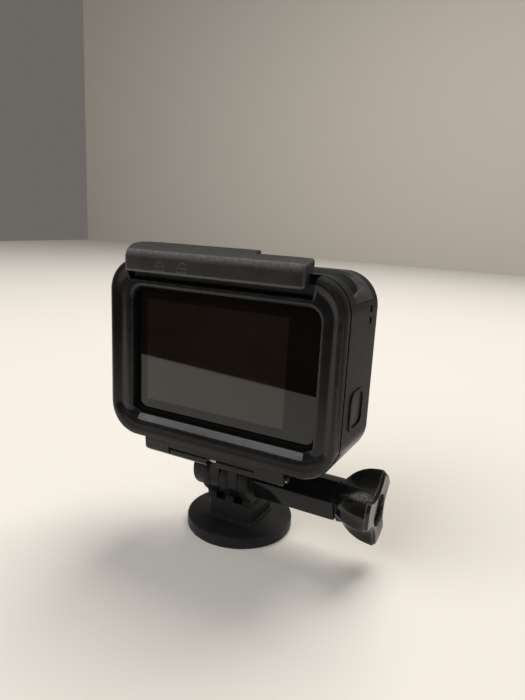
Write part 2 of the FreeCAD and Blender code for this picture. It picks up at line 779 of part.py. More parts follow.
def make_door():
    door = new_body("rear_door")
    outline = (frame_left, frame_right, size.frame_low, size.frame_high, size.frame_corner)
    grow(door, DEPTHWISE, size.door_rear, size.door_front, rounded, *outline)
    round_edges(door, size.door_round, at_level(1, size.door_rear))
    opening = (
        size.opening_left,
        size.opening_right,
        size.opening_low,
        size.opening_high,
        size.opening_corner,
    )
    carve(door, DEPTHWISE, size.door_rear, size.door_front, rounded, *opening)
    slip = size.slip
    pocket = (
        camera_left - slip,
        camera_right + slip,
        size.door_pocket_low,
        size.camera_high + slip,
        size.camera_corner + slip,
    )
    pocket_rear = size.camera_rear - size.door_play
    carve(door, DEPTHWISE, pocket_rear, size.door_front, rounded, *pocket)
    above = size.frame_high + size.past
    recess = (size.recess_left, size.recess_right)
    carve(door, DEPTHWISE, size.door_rear, size.door_front, rectangle, *recess, size.rib_high, above)
    rib_rear = pocket_rear - size.rib_depth
    carve(door, DEPTHWISE, size.door_rear, rib_rear, rectangle, *recess, size.recess_low, above)

    left = size.middle_x - size.knuckle_outer
    right = size.middle_x + size.knuckle_outer
    skirt = (size.door_rear, size.hinge_y, size.skirt_low, size.frame_low + size.skirt_root)
    grow(door, LENGTHWISE, left, right, rectangle, *skirt)
    swept = size.knuckle_radius + size.knuckle_gap
    inner_left = size.middle_x - size.knuckle_inner
    inner_right = size.middle_x + size.knuckle_inner
    carve(door, LENGTHWISE, inner_left, inner_right, circle, size.hinge_y, size.hinge_z, swept)
    for side in (-1, 1):
        near = size.middle_x + size.knuckle_inner * side
        far = size.middle_x + size.knuckle_outer * side
        span = (far, near) if side < 0 else (near, far)
        flank = (size.door_rear, size.hinge_y, size.lip_low, size.frame_low + size.flank_root)
        grow(door, LENGTHWISE, *span, rectangle, *flank)
        grow(door, LENGTHWISE, *span, circle, size.hinge_y, size.hinge_z, size.knuckle_radius)
    bore = size.hinge_pin_radius + size.pin_slip
    carve(door, LENGTHWISE, left, right, circle, size.hinge_y, size.hinge_z, bore)

    pin = new_body("door_hinge_pin")
    pin_ends = (left + size.hinge_pin_inset, right + size.hinge_pin_reach)
    grow(pin, LENGTHWISE, *pin_ends, circle, size.hinge_y, size.hinge_z, size.hinge_pin_radius)


def make_latch():
    latch = new_body("latch_lever")
    lip_front = size.latch_rear + size.latch_lip
    chamfer = size.latch_chamfer
    rear_face = (
        (lip_front, size.latch_low),
        (size.latch_rear, size.latch_low),
        (size.latch_rear, size.latch_edge_z),
        (size.latch_rear + chamfer, size.latch_edge_z + chamfer),
    )
    right_end = (
        (size.latch_right_front - chamfer, size.latch_right_top),
        (size.latch_right_front, size.latch_right_top - chamfer),
        (size.latch_right_front, size.latch_under),
        (lip_front, size.latch_under),
    )
    grow(latch, LENGTHWISE, size.latch_step_x, size.latch_right, polygon, *rear_face, *right_end)
    left_end = (
        (size.latch_y - size.crest_back, size.latch_top),
        (size.latch_front - chamfer, size.latch_top),
        (size.latch_front, size.latch_top - chamfer),
        (size.latch_front, size.latch_z),
        (size.latch_y + size.hub_front, size.latch_z - size.hub_flank),
        (size.latch_y, size.latch_z - size.hub_depth),
        (size.latch_y - size.hub_rear, size.latch_under),
        (lip_front, size.latch_under),
    )
    grow(latch, LENGTHWISE, size.latch_left, size.latch_step_x, polygon, *rear_face, *left_end)
    corner = (size.latch_left, size.latch_front, size.latch_corner)
    carve(latch, UPWARD, size.latch_under - size.overlap, size.latch_top, corner_cut, *corner)
    clear = size.lug_clear
    slot_low = size.latch_under - size.lug_slot_drop
    slot_high = size.latch_z + size.lug_radius + clear
    slot_rear = size.latch_y - size.lug_radius - clear * 2
    for left in (size.lug_left, size.lug_right):
        lug = (left - clear, left + size.lug_width + clear)
        room = (slot_rear, size.latch_front, slot_low, slot_high)
        carve(latch, LENGTHWISE, *lug, rectangle, *room)
    hub_left = size.lug_left - size.lug_width
    relief_rear = size.latch_y - size.end_relief_back
    relief = (relief_rear, size.latch_front, slot_low, size.latch_z + size.end_relief_height)
    carve(latch, LENGTHWISE, size.latch_left, hub_left, rectangle, *relief)
    bore = size.latch_pin_radius + size.pin_slip
    pin_line = (size.latch_y, size.latch_z)
    carve(latch, LENGTHWISE, hub_left, size.latch_step_x, circle, *pin_line, bore)
    pin = new_body("latch_pin")
    pin_ends = (hub_left + size.latch_pin_inset, size.latch_step_x - size.latch_pin_inset)
    grow(pin, LENGTHWISE, *pin_ends, circle, *pin_line, size.latch_pin_radius)


# ---- Camera ----


def make_front_housing():
    housing = new_body("front_housing")
    grow(housing, DEPTHWISE, size.seam_y, size.camera_front, rounded, *camera_outline)
    round_edges(housing, size.edge_round, at_level(1, size.camera_front))
    carve(housing, DEPTHWISE, size.seam_y, size.camera_front - size.wall, rounded, *cavity_outline)
    grow(housing, DEPTHWISE, size.camera_front - size.wall, size.bump_front, rounded, *bump_outline)
    lens = (size.lens_x, size.lens_z)
    inner = size.camera_front - size.wall
    lens_bore = size.barrel_radius + size.bore_clearance
    carve(housing, DEPTHWISE, inner, size.bump_front, circle, *lens, lens_bore)
    for across, up in post_places:
        grow(housing, DEPTHWISE, size.seam_y, inner, circle, across, up, size.post_radius)
        carve(housing, DEPTHWISE, size.seam_y, size.screw_hole_end, circle, across, up, size.screw_radius)
    carve(housing, DEPTHWISE, size.seam_y, size.seam_y + size.gasket_size, gasket_ring)
    lid_corner = size.lid_corner
    carve(housing, DEPTHWISE, inner, size.camera_front, rounded, *status_hole, lid_corner)
    shutter_bore = size.shutter_radius + size.button_gap
    carve(housing, UPWARD, cavity_high, size.camera_high, circle, *shutter_place, shutter_bore)
    mode_hole = drawn_in(mode_button_outline(), -size.button_gap)
    mode_hole_corner = size.mode_corner + size.bore_clearance
    carve(housing, LENGTHWISE, cavity_right, camera_right, rounded, *mode_hole, mode_hole_corner)
    carve(housing, LENGTHWISE, camera_left, cavity_left, rounded, *side_door_hole, lid_corner)
    carve(housing, UPWARD, size.camera_low, cavity_low, rounded, *battery_door_hole, lid_corner)


def gasket_ring(sketch):
    """The even ring that the gasket fills, just inside the housing's outline."""
    for inset in (size.gasket_inset, size.gasket_inset + size.gasket_size):
        rounded(sketch, *drawn_in(camera_outline[:4], inset), camera_outline[4] - inset)


def mode_button_outline():
    """The side button from the side."""
    return middle_outline(size.mode_y, size.mode_z, size.mode_width * 0.5, size.mode_height * 0.5)


def make_rear_housing():
    housing = new_body("rear_housing")
    grow(housing, DEPTHWISE, size.camera_rear, size.seam_y, rounded, *camera_outline)
    round_edges(housing, size.edge_round, at_level(1, size.camera_rear))
    rear_wall = glass_front + size.rear_wall
    carve(housing, DEPTHWISE, rear_wall, size.seam_y, rounded, *cavity_outline)
    carve(housing, DEPTHWISE, size.camera_rear, glass_front, rounded, *glass_outline)
    carve(housing, DEPTHWISE, glass_front, rear_wall, rectangle, *screen_outline)
    for across, up in post_places:
        grow(housing, DEPTHWISE, glass_front, size.seam_y, circle, across, up, size.post_radius)
        carve(housing, DEPTHWISE, glass_front, size.seam_y, circle, across, up, size.screw_radius)
        head_front = glass_front + size.screw_head_depth
        carve(housing, DEPTHWISE, glass_front, head_front, circle, across, up, size.screw_head_radius)
    screws = new_body("housing_screws", groups=True)
    for across, up in post_places:
        head_rear = glass_front + size.bore_clearance
        grow(screws, DEPTHWISE, head_rear, head_front, circle, across, up, size.screw_head_radius)
        grow(screws, DEPTHWISE, head_front, size.screw_end, circle, across, up, size.screw_radius)
    gasket = new_body("housing_gasket")
    grow(gasket, DEPTHWISE, size.seam_y, size.seam_y + size.gasket_size, gasket_ring)


def make_screen():
    glass = new_body("rear_glass")
    grow(glass, DEPTHWISE, size.glass_rear, glass_front, rounded, *glass_outline)
    panel = new_body("touch_display")
    grow(panel, DEPTHWISE, glass_front, screen_front, rectangle, *screen_outline)


def make_lens():
    cover = new_body("lens_cover_ring")
    grow(cover, DEPTHWISE, size.bump_front, size.cover_front, rounded, *bump_outline)
    round_edges(cover, size.cover_round, at_level(1, size.cover_front))
    half = size.cover_glass_width * 0.5
    lens = (size.lens_x, size.lens_z)
    window = (*middle_outline(*lens, half, half), size.cover_glass_corner)
    glass_rear = size.cover_front - size.cover_glass_depth
    glass_front_face = size.cover_front - size.cover_glass_sunk
    carve(cover, DEPTHWISE, glass_rear, size.cover_front, rounded, *window)
    room = size.barrel_radius + size.barrel_room
    carve(cover, DEPTHWISE, size.bump_front, glass_rear, circle, *lens, room)
    glass = new_body("lens_cover_glass")
    grow(glass, DEPTHWISE, glass_rear, glass_front_face, rounded, *window)

    barrel = new_body("lens_barrel")
    inner = size.barrel_radius - size.barrel_wall
    grow(barrel, DEPTHWISE, size.barrel_rear, size.barrel_front, circle, *lens, size.barrel_radius)
    carve(barrel, DEPTHWISE, size.barrel_rear, size.barrel_front, circle, *lens, inner)

    for label, rear, rim_front, crown in LENS_ELEMENTS:
        make_element(label, rear, rim_front, crown, inner)


def make_element(label, rear, rim_front, crown, radius):
    """A plano-convex lens: a flat rear, a short cylindrical rim and a domed front."""
    element = new_body(label)
    sketch = new_sketch(element, UPWARD, size.lens_z)
    left = size.lens_x
    right = size.lens_x + radius
    rise = crown - rim_front
    dome = (radius.value**2 + rise**2) / (2 * rise)
    axis_rear = FreeCAD.Vector(left.value, rear, 0)
    rim_rear = FreeCAD.Vector(right.value, rear, 0)
    rim_end = FreeCAD.Vector(right.value, rim_front, 0)
    tip = FreeCAD.Vector(left.value, crown, 0)
    flat = sketch.addGeometry(Part.LineSegment(axis_rear, rim_rear))
    edge = sketch.addGeometry(Part.LineSegment(rim_rear, rim_end))
    whole = Part.Circle(FreeCAD.Vector(left.value, crown - dome, 0), FreeCAD.Vector(0, 0, 1), dome)
    start = math.atan2(rim_front - (crown - dome), radius.value)
    arc = sketch.addGeometry(Part.ArcOfCircle(whole, start, math.pi / 2))
    spine = sketch.addGeometry(Part.LineSegment(tip, axis_rear))
    for first, first_end, second, second_end in (
        (flat, 2, edge, 1),
        (edge, 2, arc, 1),
        (arc, 2, spine, 1),
        (spine, 2, flat, 1),
    ):
        sketch.addConstraint(Sketcher.Constraint("Coincident", first, first_end, second, second_end))
    place_point(sketch, flat, 1, left, rear)
    place_point(sketch, flat, 2, right, rear)
    place_point(sketch, arc, 1, right, rim_front)
    place_point(sketch, arc, 2, left, crown)
    index = sketch.addConstraint(Sketcher.Constraint("Radius", arc, dome))
    bind(sketch, f"Constraints[{index}]", dome)
    turned = element.newObject("PartDesign::Revolution", label + "_turned")
    turned.Profile = sketch
    turned.ReferenceAxis = (sketch, [f"Edge{spine + 1}"])
    turned.Angle = 360


def make_block(label, left, right, rear, front, low, high, corner=0.0):
    """A plain block, with its corners rounded seen from the front."""
    block = new_body(label)
    if corner:
        grow(block, DEPTHWISE, rear, front, rounded, left, right, low, high, corner)
    else:
        grow(block, DEPTHWISE, rear, front, rectangle, left, right, low, high)
    return block


def make_electronics():
    board_front = size.board_rear + size.board_depth
    side_margin = size.post_inset + size.board_side_margin
    board = (
        cavity_left + side_margin,
        cavity_right - side_margin,
        size.board_rear,
        board_front,
        cavity_low + size.board_low_margin,
        cavity_high - size.board_high_margin,
    )
    make_block("main_board", *board, size.board_corner)
    chips = new_body("processor_and_memory", groups=True)
    chip_rear = size.board_rear - size.chip_depth
    for left, low, side in CHIPS:
        square = (left, left + side, low, low + side)
        grow(chips, DEPTHWISE, chip_rear, size.board_rear, rectangle, *square)
    spreader_rear = screen_front + size.spreader_gap
    spreader = (size.spreader_left, size.spreader_right, spreader_rear, chip_rear)
    make_block("heat_spreader", *spreader, size.spreader_low, size.spreader_high, size.spreader_corner)

    sensor_front = size.barrel_rear - size.sensor_gap
    sensor_rear = sensor_front - size.sensor_depth
    board_rear = sensor_rear - size.board_depth
    lens = (size.lens_x, size.lens_z)
    left, right, low, high = middle_outline(*lens, size.sensor_half_width, size.sensor_half_height)
    make_block("image_sensor", left, right, sensor_rear, sensor_front, low, high)
    half_sizes = (size.sensor_board_half_width, size.sensor_board_half_height)
    left, right, low, high = middle_outline(*lens, *half_sizes)
    make_block("sensor_board", left, right, board_rear, sensor_rear, low, high, size.board_corner)

    make_battery()
    make_status_display()
    socket_left = cavity_left + size.socket_inset
    socket_right = cavity_left + size.socket_reach
    for label, low, high in SOCKETS:
        make_block(label, socket_left, socket_right, size.socket_rear, size.socket_front, low, high)
    card_right = size.battery_x - size.card_gap
    card_front = size.card_rear + size.card_depth
    card = (card_right - size.card_width, card_right, size.card_rear, card_front)
    make_block("memory_card", *card, size.card_low, size.card_low + size.card_height)
    speaker = (size.speaker_left, size.speaker_right, size.speaker_rear, size.speaker_front)
    make_block("speaker", *speaker, size.speaker_low, size.speaker_high, size.speaker_corner)


def make_battery():
    """The battery and the thin bay round it, open at the bottom where the battery door is."""
    left, right = size.battery_x, size.battery_x + size.battery_width
    rear, front = size.battery_y, size.battery_y + size.battery_depth
    low, high = size.battery_z, size.battery_z + size.battery_height
    make_block("battery", left, right, rear, front, low, high)
    bay = new_body("battery_bay")
    room, wall = size.bay_room, size.bay_wall
    bay_low = cavity_low + size.bay_lift
    bay_high = high + room + wall
    inner = (left - room, right + room, rear - size.bay_rear_room, front + room)
    outer = (inner[0] - wall, inner[1] + wall, inner[2] - room, inner[3] + wall)
    grow(bay, UPWARD, bay_low, bay_high, rectangle, *outer)
    carve(bay, UPWARD, bay_low, bay_high - wall, rectangle, *inner)


def make_status_display():
    """The small front window with its display, and the microphones and lamps behind the front wall."""
    inner_face = size.camera_front - size.wall
    left, right, low, high = drawn_in(status_hole, size.status_gap)
    window_front = size.camera_front - size.lid_sunk
    make_block("status_window", left, right, inner_face, window_front, low, high, size.status_window_corner)
    left, right, low, high = drawn_in(status_hole, size.status_panel_inset)
    panel_rear = inner_face - size.status_panel_depth
    make_block("status_display", left, right, panel_rear, inner_face, low, high)
    microphones = new_body("microphones", groups=True)
    half_sizes = (size.microphone_half_width, size.microphone_half_height)
    for across, up in MICROPHONES:
        outline = middle_outline(across, up, *half_sizes)
        grow(microphones, DEPTHWISE, inner_face - size.microphone_depth, inner_face, rectangle, *outline)
    lamps = new_body("status_lamps", groups=True)
    for across, up in LAMPS:
        grow(lamps, DEPTHWISE, inner_face - size.lamp_depth, inner_face, circle, across, up, size.lamp_radius)


def make_camera_doors():
    """The doors over the sockets and over the battery, each with its seal."""
    lid_corner = size.lid_corner - size.bore_clearance
    side_door = new_body("side_door")
    outline = drawn_in(side_door_hole, size.lid_gap)
    grow(side_door, LENGTHWISE, camera_left + size.lid_sunk, cavity_left, rounded, *outline, lid_corner)
    battery_door = new_body("battery_door")
    outline = drawn_in(battery_door_hole, size.lid_gap)
    grow(battery_door, UPWARD, size.camera_low + size.lid_sunk, cavity_low, rounded, *outline, lid_corner)
    for label, plane, hole, levels, insets, corners in (
        ("side_door_seal", LENGTHWISE, side_door_hole,
         (cavity_left, cavity_left + size.seal_depth), (1.0, 1.9), (1.2, 0.6)),
        ("battery_door_seal", UPWARD, battery_door_hole,
         (cavity_low, cavity_low + size.bay_lift), (0.4, 1.0), (1.2, 0.8)),
    ):
        seal = new_body(label)
        grow(seal, plane, *levels, rounded, *drawn_in(hole, insets[0]), corners[0])
        carve(seal, plane, *levels, rounded, *drawn_in(hole, insets[1]), corners[1])


def make_buttons():
    place = shutter_place
    shutter = new_body("shutter_button")
    flange_top = cavity_high - size.flange_gap
    flange_low = flange_top - size.flange_depth
    grow(shutter, UPWARD, flange_low, size.shutter_top, circle, *place, size.shutter_radius)
    flange_radius = size.shutter_radius + size.flange
    grow(shutter, UPWARD, flange_low, flange_top, circle, *place, flange_radius)
    dome = new_body("shutter_switch")
    dome_top = flange_low - size.shutter_travel - size.switch_gap
    dome_low = dome_top - size.shutter_switch_depth
    grow(dome, UPWARD, dome_low, dome_top, circle, *place, size.shutter_switch_radius)

    outline = mode_button_outline()
    mode = new_body("mode_button")
    flange_outer = cavity_right - size.flange_gap
    flange_inner = flange_outer - size.flange_depth
    grow(mode, LENGTHWISE, flange_inner, size.mode_face_x, rounded, *outline, size.mode_corner)
    wide = drawn_in(outline, -size.flange)
    grow(mode, LENGTHWISE, flange_inner, flange_outer, rounded, *wide, size.mode_flange_corner)
    dome = new_body("mode_switch")
    dome_outer = flange_inner - size.mode_travel - size.switch_gap
    dome_inner = dome_outer - size.mode_switch_depth
    place = (size.mode_y, size.mode_z)
    grow(dome, LENGTHWISE, dome_inner, dome_outer, circle, *place, size.mode_switch_radius)


make_foot()
make_foot_metal()
make_thumbscrew()
make_frame()
make_door()
make_latch()
make_front_housing()
make_rear_housing()
make_screen()
make_lens()
make_electronics()
make_camera_doors()
make_buttons()
doc.recompute()


def check_model():
    """Stop if a feature failed, a shape is bad, or a cut took nothing away."""
    for item in doc.Objects:
        if "Invalid" in item.State or "Error" in item.State:
            raise RuntimeError(f"{item.Name} failed to recompute: {item.State}")
        if item.TypeId in ("PartDesign::Pocket", "PartDesign::Groove"):
            before = item.BaseFeature.Shape.Volume
            if not item.Shape.Volume < before - 1e-6:
                raise RuntimeError(f"{item.Name} cut nothing")
    for node in nodes:
        if node.Shape.isNull() or not node.Shape.isValid():
            raise RuntimeError(f"{node.Label} has no valid shape")


check_model()
os.makedirs("parts", exist_ok=True)
for node in nodes:
    node.Shape.exportStep(f"parts/{node.Label}.step")
    print(f"{node.Label}: {len(node.Shape.Solids)} solid, {node.Shape.Volume:.1f} mm3")
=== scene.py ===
"""Looks for a compact action camera in a clip-together frame, on a disc-shaped tripod foot."""

import json
import math

import bmesh
import bpy
from mathutils import Matrix, Vector


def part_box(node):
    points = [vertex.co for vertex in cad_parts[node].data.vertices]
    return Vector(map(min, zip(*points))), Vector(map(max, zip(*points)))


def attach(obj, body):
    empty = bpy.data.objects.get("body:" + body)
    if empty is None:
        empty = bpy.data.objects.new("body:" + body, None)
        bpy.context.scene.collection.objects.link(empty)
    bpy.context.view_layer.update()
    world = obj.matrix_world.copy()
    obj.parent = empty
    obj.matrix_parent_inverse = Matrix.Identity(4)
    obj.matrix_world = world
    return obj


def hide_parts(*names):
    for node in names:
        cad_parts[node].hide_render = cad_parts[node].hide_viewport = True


MM = 0.001

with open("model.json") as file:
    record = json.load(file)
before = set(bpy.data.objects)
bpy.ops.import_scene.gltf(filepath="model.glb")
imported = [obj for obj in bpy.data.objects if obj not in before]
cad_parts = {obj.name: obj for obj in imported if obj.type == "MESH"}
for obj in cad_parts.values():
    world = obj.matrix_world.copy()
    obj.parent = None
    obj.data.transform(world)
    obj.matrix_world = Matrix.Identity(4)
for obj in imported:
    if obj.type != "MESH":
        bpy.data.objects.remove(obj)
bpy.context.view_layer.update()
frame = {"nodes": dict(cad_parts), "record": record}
nodes = frame["nodes"]


# Materials ---------------------------------------------------------------------------------------

# Each finish has the colour and roughness of its bare surface, the size and depth in mm of its grain,
# and how much of each edge is worn, to which colour and roughness. Some also say how metallic or clear
# they are, their ior, how strong their scuffs are, how big in mm the patches of wear are (patch), and
# how much wear is left between them (between). The looks for the wall and the floor of the frame's corner
# recess and for the door's lip strip are for parts made of the frame's plastic.
FINISHES = {
    "frame_plastic": dict(colour=(0.0075, 0.0075, 0.008), roughness=0.27, grain=0.16, depth=0.010,
                          wear=0.8, worn=(0.17, 0.17, 0.17), worn_roughness=0.28, ior=1.40),
    # Its worn colour also paints a highlight along the latch's slanted top edge, on top of real wear there.
    "latch_plastic": dict(colour=(0.024, 0.024, 0.025), roughness=0.33, grain=0.22, depth=0.008,
                          wear=0.75, worn=(0.20, 0.195, 0.19), worn_roughness=0.24, scuffs=0.12,
                          patch=0.7, between=0.5),
    "foot_plastic": dict(colour=(0.013, 0.013, 0.0135), roughness=0.48, grain=0.25, depth=0.018,
                         wear=0.3, worn=(0.06, 0.06, 0.06), worn_roughness=0.42, ior=1.34),
    # Its light worn colour marks real wear on the knob's rim and rubbed patch, and also paints the rim's
    # highlight and the patch's glints.
    "knob_plastic": dict(colour=(0.009, 0.009, 0.0095), roughness=0.14, grain=0.5, depth=0.003,
                         wear=0.6, worn=(0.35, 0.34, 0.33), worn_roughness=0.25, scuffs=0.06,
                         ior=1.5, patch=0.6),
    "button_plastic": dict(colour=(0.055, 0.055, 0.056), roughness=0.38, grain=0.15, depth=0.008,
                           wear=0.8, worn=(0.20, 0.20, 0.20), worn_roughness=0.3),
    "camera_rubber": dict(colour=(0.035, 0.036, 0.040), roughness=0.62, grain=0.30, depth=0.025,
                          wear=0.3, worn=(0.09, 0.09, 0.10), worn_roughness=0.5),
    # The corner recess wall: smoother than the frame's plastic, and lighter in colour as a painted
    # highlight.
    "frame_gloss_painted_highlight": dict(colour=(0.036, 0.036, 0.038), roughness=0.17, grain=0.4, depth=0.003,
                        wear=0.5, worn=(0.17, 0.17, 0.17), worn_roughness=0.25, ior=1.55),
    # A near-black sheet on the corner recess's floor: painted shade.
    "recess_painted_shade": dict(colour=(0.002, 0.002, 0.002), roughness=0.3, grain=0.4, depth=0.003,
                         wear=0.1, worn=(0.01, 0.01, 0.01), worn_roughness=0.3, ior=1.2),
    # The lip strip's light colour, on the frame's dark plastic, is a painted reflection of the bright
    # surroundings.
    "lip_painted_reflection": dict(colour=(0.125, 0.125, 0.127), roughness=0.30, grain=0.4, depth=0.004,
                      wear=0.5, worn=(0.16, 0.16, 0.16), worn_roughness=0.25),
    # Its near-black also colours the sheet of painted shade in the gap round the display.
    "seal_rubber": dict(colour=(0.003, 0.003, 0.003), roughness=0.85, grain=0.2, depth=0.01,
                        wear=0.1, worn=(0.01, 0.01, 0.01), worn_roughness=0.7, ior=1.2),
    "black_glass": dict(colour=(0.003, 0.003, 0.003), roughness=0.02, grain=6.0, depth=0.0004,
                        wear=0.2, worn=(0.05, 0.05, 0.05), worn_roughness=0.12, ior=1.49),
    "display": dict(colour=(0.0085, 0.006, 0.005), roughness=0.035, grain=6.0, depth=0.0004,
                    wear=0.0, worn=(0.03, 0.03, 0.03), worn_roughness=0.2, ior=1.64),
    "lens_ring": dict(colour=(0.022, 0.022, 0.025), roughness=0.33, metallic=0.6, grain=0.12,
                      depth=0.005, wear=0.5, worn=(0.22, 0.22, 0.22), worn_roughness=0.25),
    "clear_glass": dict(colour=(0.80, 0.86, 0.96), roughness=0.0, grain=6.0, depth=0.0003,
                        wear=0.0, worn=(0.9, 0.9, 0.9), worn_roughness=0.1, clear=1.0, ior=1.45),
    "steel": dict(colour=(0.52, 0.52, 0.53), roughness=0.30, metallic=1.0, grain=0.35, depth=0.006,
                  wear=0.4, worn=(0.75, 0.75, 0.75), worn_roughness=0.2),
    "brass": dict(colour=(0.62, 0.44, 0.18), roughness=0.32, metallic=1.0, grain=0.35, depth=0.006,
                  wear=0.4, worn=(0.85, 0.68, 0.36), worn_roughness=0.2),
    "aluminium": dict(colour=(0.66, 0.67, 0.69), roughness=0.38, metallic=1.0, grain=0.25, depth=0.006,
                      wear=0.4, worn=(0.85, 0.85, 0.86), worn_roughness=0.25),
    "nylon": dict(colour=(0.012, 0.012, 0.012), roughness=0.45, grain=0.3, depth=0.01,
                  wear=0.3, worn=(0.06, 0.06, 0.06), worn_roughness=0.35),
    "circuit_board": dict(colour=(0.010, 0.060, 0.030), roughness=0.35, grain=0.6, depth=0.012,
                          wear=0.5, worn=(0.42, 0.34, 0.14), worn_roughness=0.4),
    "chip_plastic": dict(colour=(0.025, 0.025, 0.027), roughness=0.5, grain=0.12, depth=0.01,
                         wear=0.3, worn=(0.10, 0.10, 0.10), worn_roughness=0.4),
    "sensor": dict(colour=(0.02, 0.03, 0.06), roughness=0.15, metallic=0.3, grain=0.1, depth=0.002,
                   wear=0.3, worn=(0.30, 0.28, 0.16), worn_roughness=0.3),
    "battery_case": dict(colour=(0.05, 0.055, 0.065), roughness=0.42, grain=0.3, depth=0.008,
                         wear=0.5, worn=(0.16, 0.17, 0.18), worn_roughness=0.35),
    "inner_plastic": dict(colour=(0.03, 0.03, 0.032), roughness=0.5, grain=0.25, depth=0.012,
                          wear=0.3, worn=(0.08, 0.08, 0.08), worn_roughness=0.4),
    "red_lamp": dict(colour=(0.32, 0.02, 0.015), roughness=0.18, grain=0.5, depth=0.003,
                     wear=0.2, worn=(0.45, 0.08, 0.06), worn_roughness=0.25, clear=0.25),
}

EDGE_WIDTH = 0.35 * MM  # how far from an edge its wear reaches
EDGE_TURN = (0.985, 0.90)  # the cosine of a bevel's turn where an edge starts, and where it is sharp
SHARP_EDGE_WEAR = 0.25  # how worn a sharp edge is where nothing rubs it more than elsewhere
WEAR_AND_HIGHLIGHT_LAYER = "edge_wear_and_highlight"  # the pieces' own record of how exposed each point is, from 0 to 1, which on the latch and knob also places painted highlights
BROAD_SIZE = 14 * MM  # the size of faint patches in a surface
BROAD_COLOURS = (0.82, 1.22)  # their darkest and lightest, as shares of the finish's colour
BROAD_ROUGHNESS = (0.86, 1.16)  # the same for its roughness
SCUFF_SIZE = 0.9 * MM
MIX_FACTOR = 0
# Where a Mix node keeps the two inputs and the output of each kind.
MIX_SOCKETS = {"FLOAT": (2, 3, 0), "RGBA": (6, 7, 2)}


def add_node(tree, kind, **settings):
    """Add a shader node, with its plain settings and its unlinked inputs by name."""
    node = tree.nodes.new(kind)
    for name, value in settings.items():
        if hasattr(node, name):
            setattr(node, name, value)
        else:
            node.inputs[name.replace("_", " ")].default_value = value
    return node


def add_noise(tree, size, detail=3.0, rough=0.6, shift=0.0):
    """A noise over the object's own coordinates, whose features are about size metres across.

    Noises with different shifts don't line up."""
    place = add_node(tree, "ShaderNodeTexCoord")
    moved = add_node(tree, "ShaderNodeVectorMath", operation="ADD")
    moved.inputs[1].default_value = (shift, shift, shift)
    noise = add_node(tree, "ShaderNodeTexNoise", Scale=1.0 / size, Detail=detail, Roughness=rough)
    tree.links.new(place.outputs["Object"], moved.inputs[0])
    tree.links.new(moved.outputs[0], noise.inputs["Vector"])
    return noise.outputs["Fac"]


def remap(tree, source, low, high, to_low, to_high):
    """Stretch a value from one range to another, clamped at both ends."""
    node = add_node(tree, "ShaderNodeMapRange", From_Min=low, From_Max=high, To_Min=to_low, To_Max=to_high)
    tree.links.new(source, node.inputs["Value"])
    return node.outputs["Result"]


def feed(tree, socket, value):
    """Give an input a number, a colour of three numbers, or another node's output."""
    if isinstance(value, tuple):
        socket.default_value = (*value, 1.0)
    elif isinstance(value, (int, float)):
        socket.default_value = value
    else:
        tree.links.new(value, socket)


def math_node(tree, operation, first, second):
    """Combine two values, each a socket or a number, and keep the result between 0 and 1."""
    node = add_node(tree, "ShaderNodeMath", operation=operation, use_clamp=True)
    feed(tree, node.inputs[0], first)
    feed(tree, node.inputs[1], second)
    return node.outputs["Value"]


def mix(tree, kind, factor, first, second):
    """Mix two numbers (kind FLOAT) or two colours (kind RGBA), each a socket or a plain value."""
    node = add_node(tree, "ShaderNodeMix", data_type=kind)
    first_input, second_input, output = MIX_SOCKETS[kind]
    feed(tree, node.inputs[MIX_FACTOR], factor)
    feed(tree, node.inputs[first_input], first)
    feed(tree, node.inputs[second_input], second)
    return node.outputs[output]


def edge_mask(tree, width):
    """1 on sharp outer edges and 0 on flat ground, from how far a bevelled normal turns."""
    bevel = add_node(tree, "ShaderNodeBevel", samples=4, Radius=width)
    flat = add_node(tree, "ShaderNodeNewGeometry")
    dot = add_node(tree, "ShaderNodeVectorMath", operation="DOT_PRODUCT")
    tree.links.new(bevel.outputs["Normal"], dot.inputs[0])
    tree.links.new(flat.outputs["Normal"], dot.inputs[1])
    return remap(tree, dot.outputs["Value"], *EDGE_TURN, 0.0, 1.0)


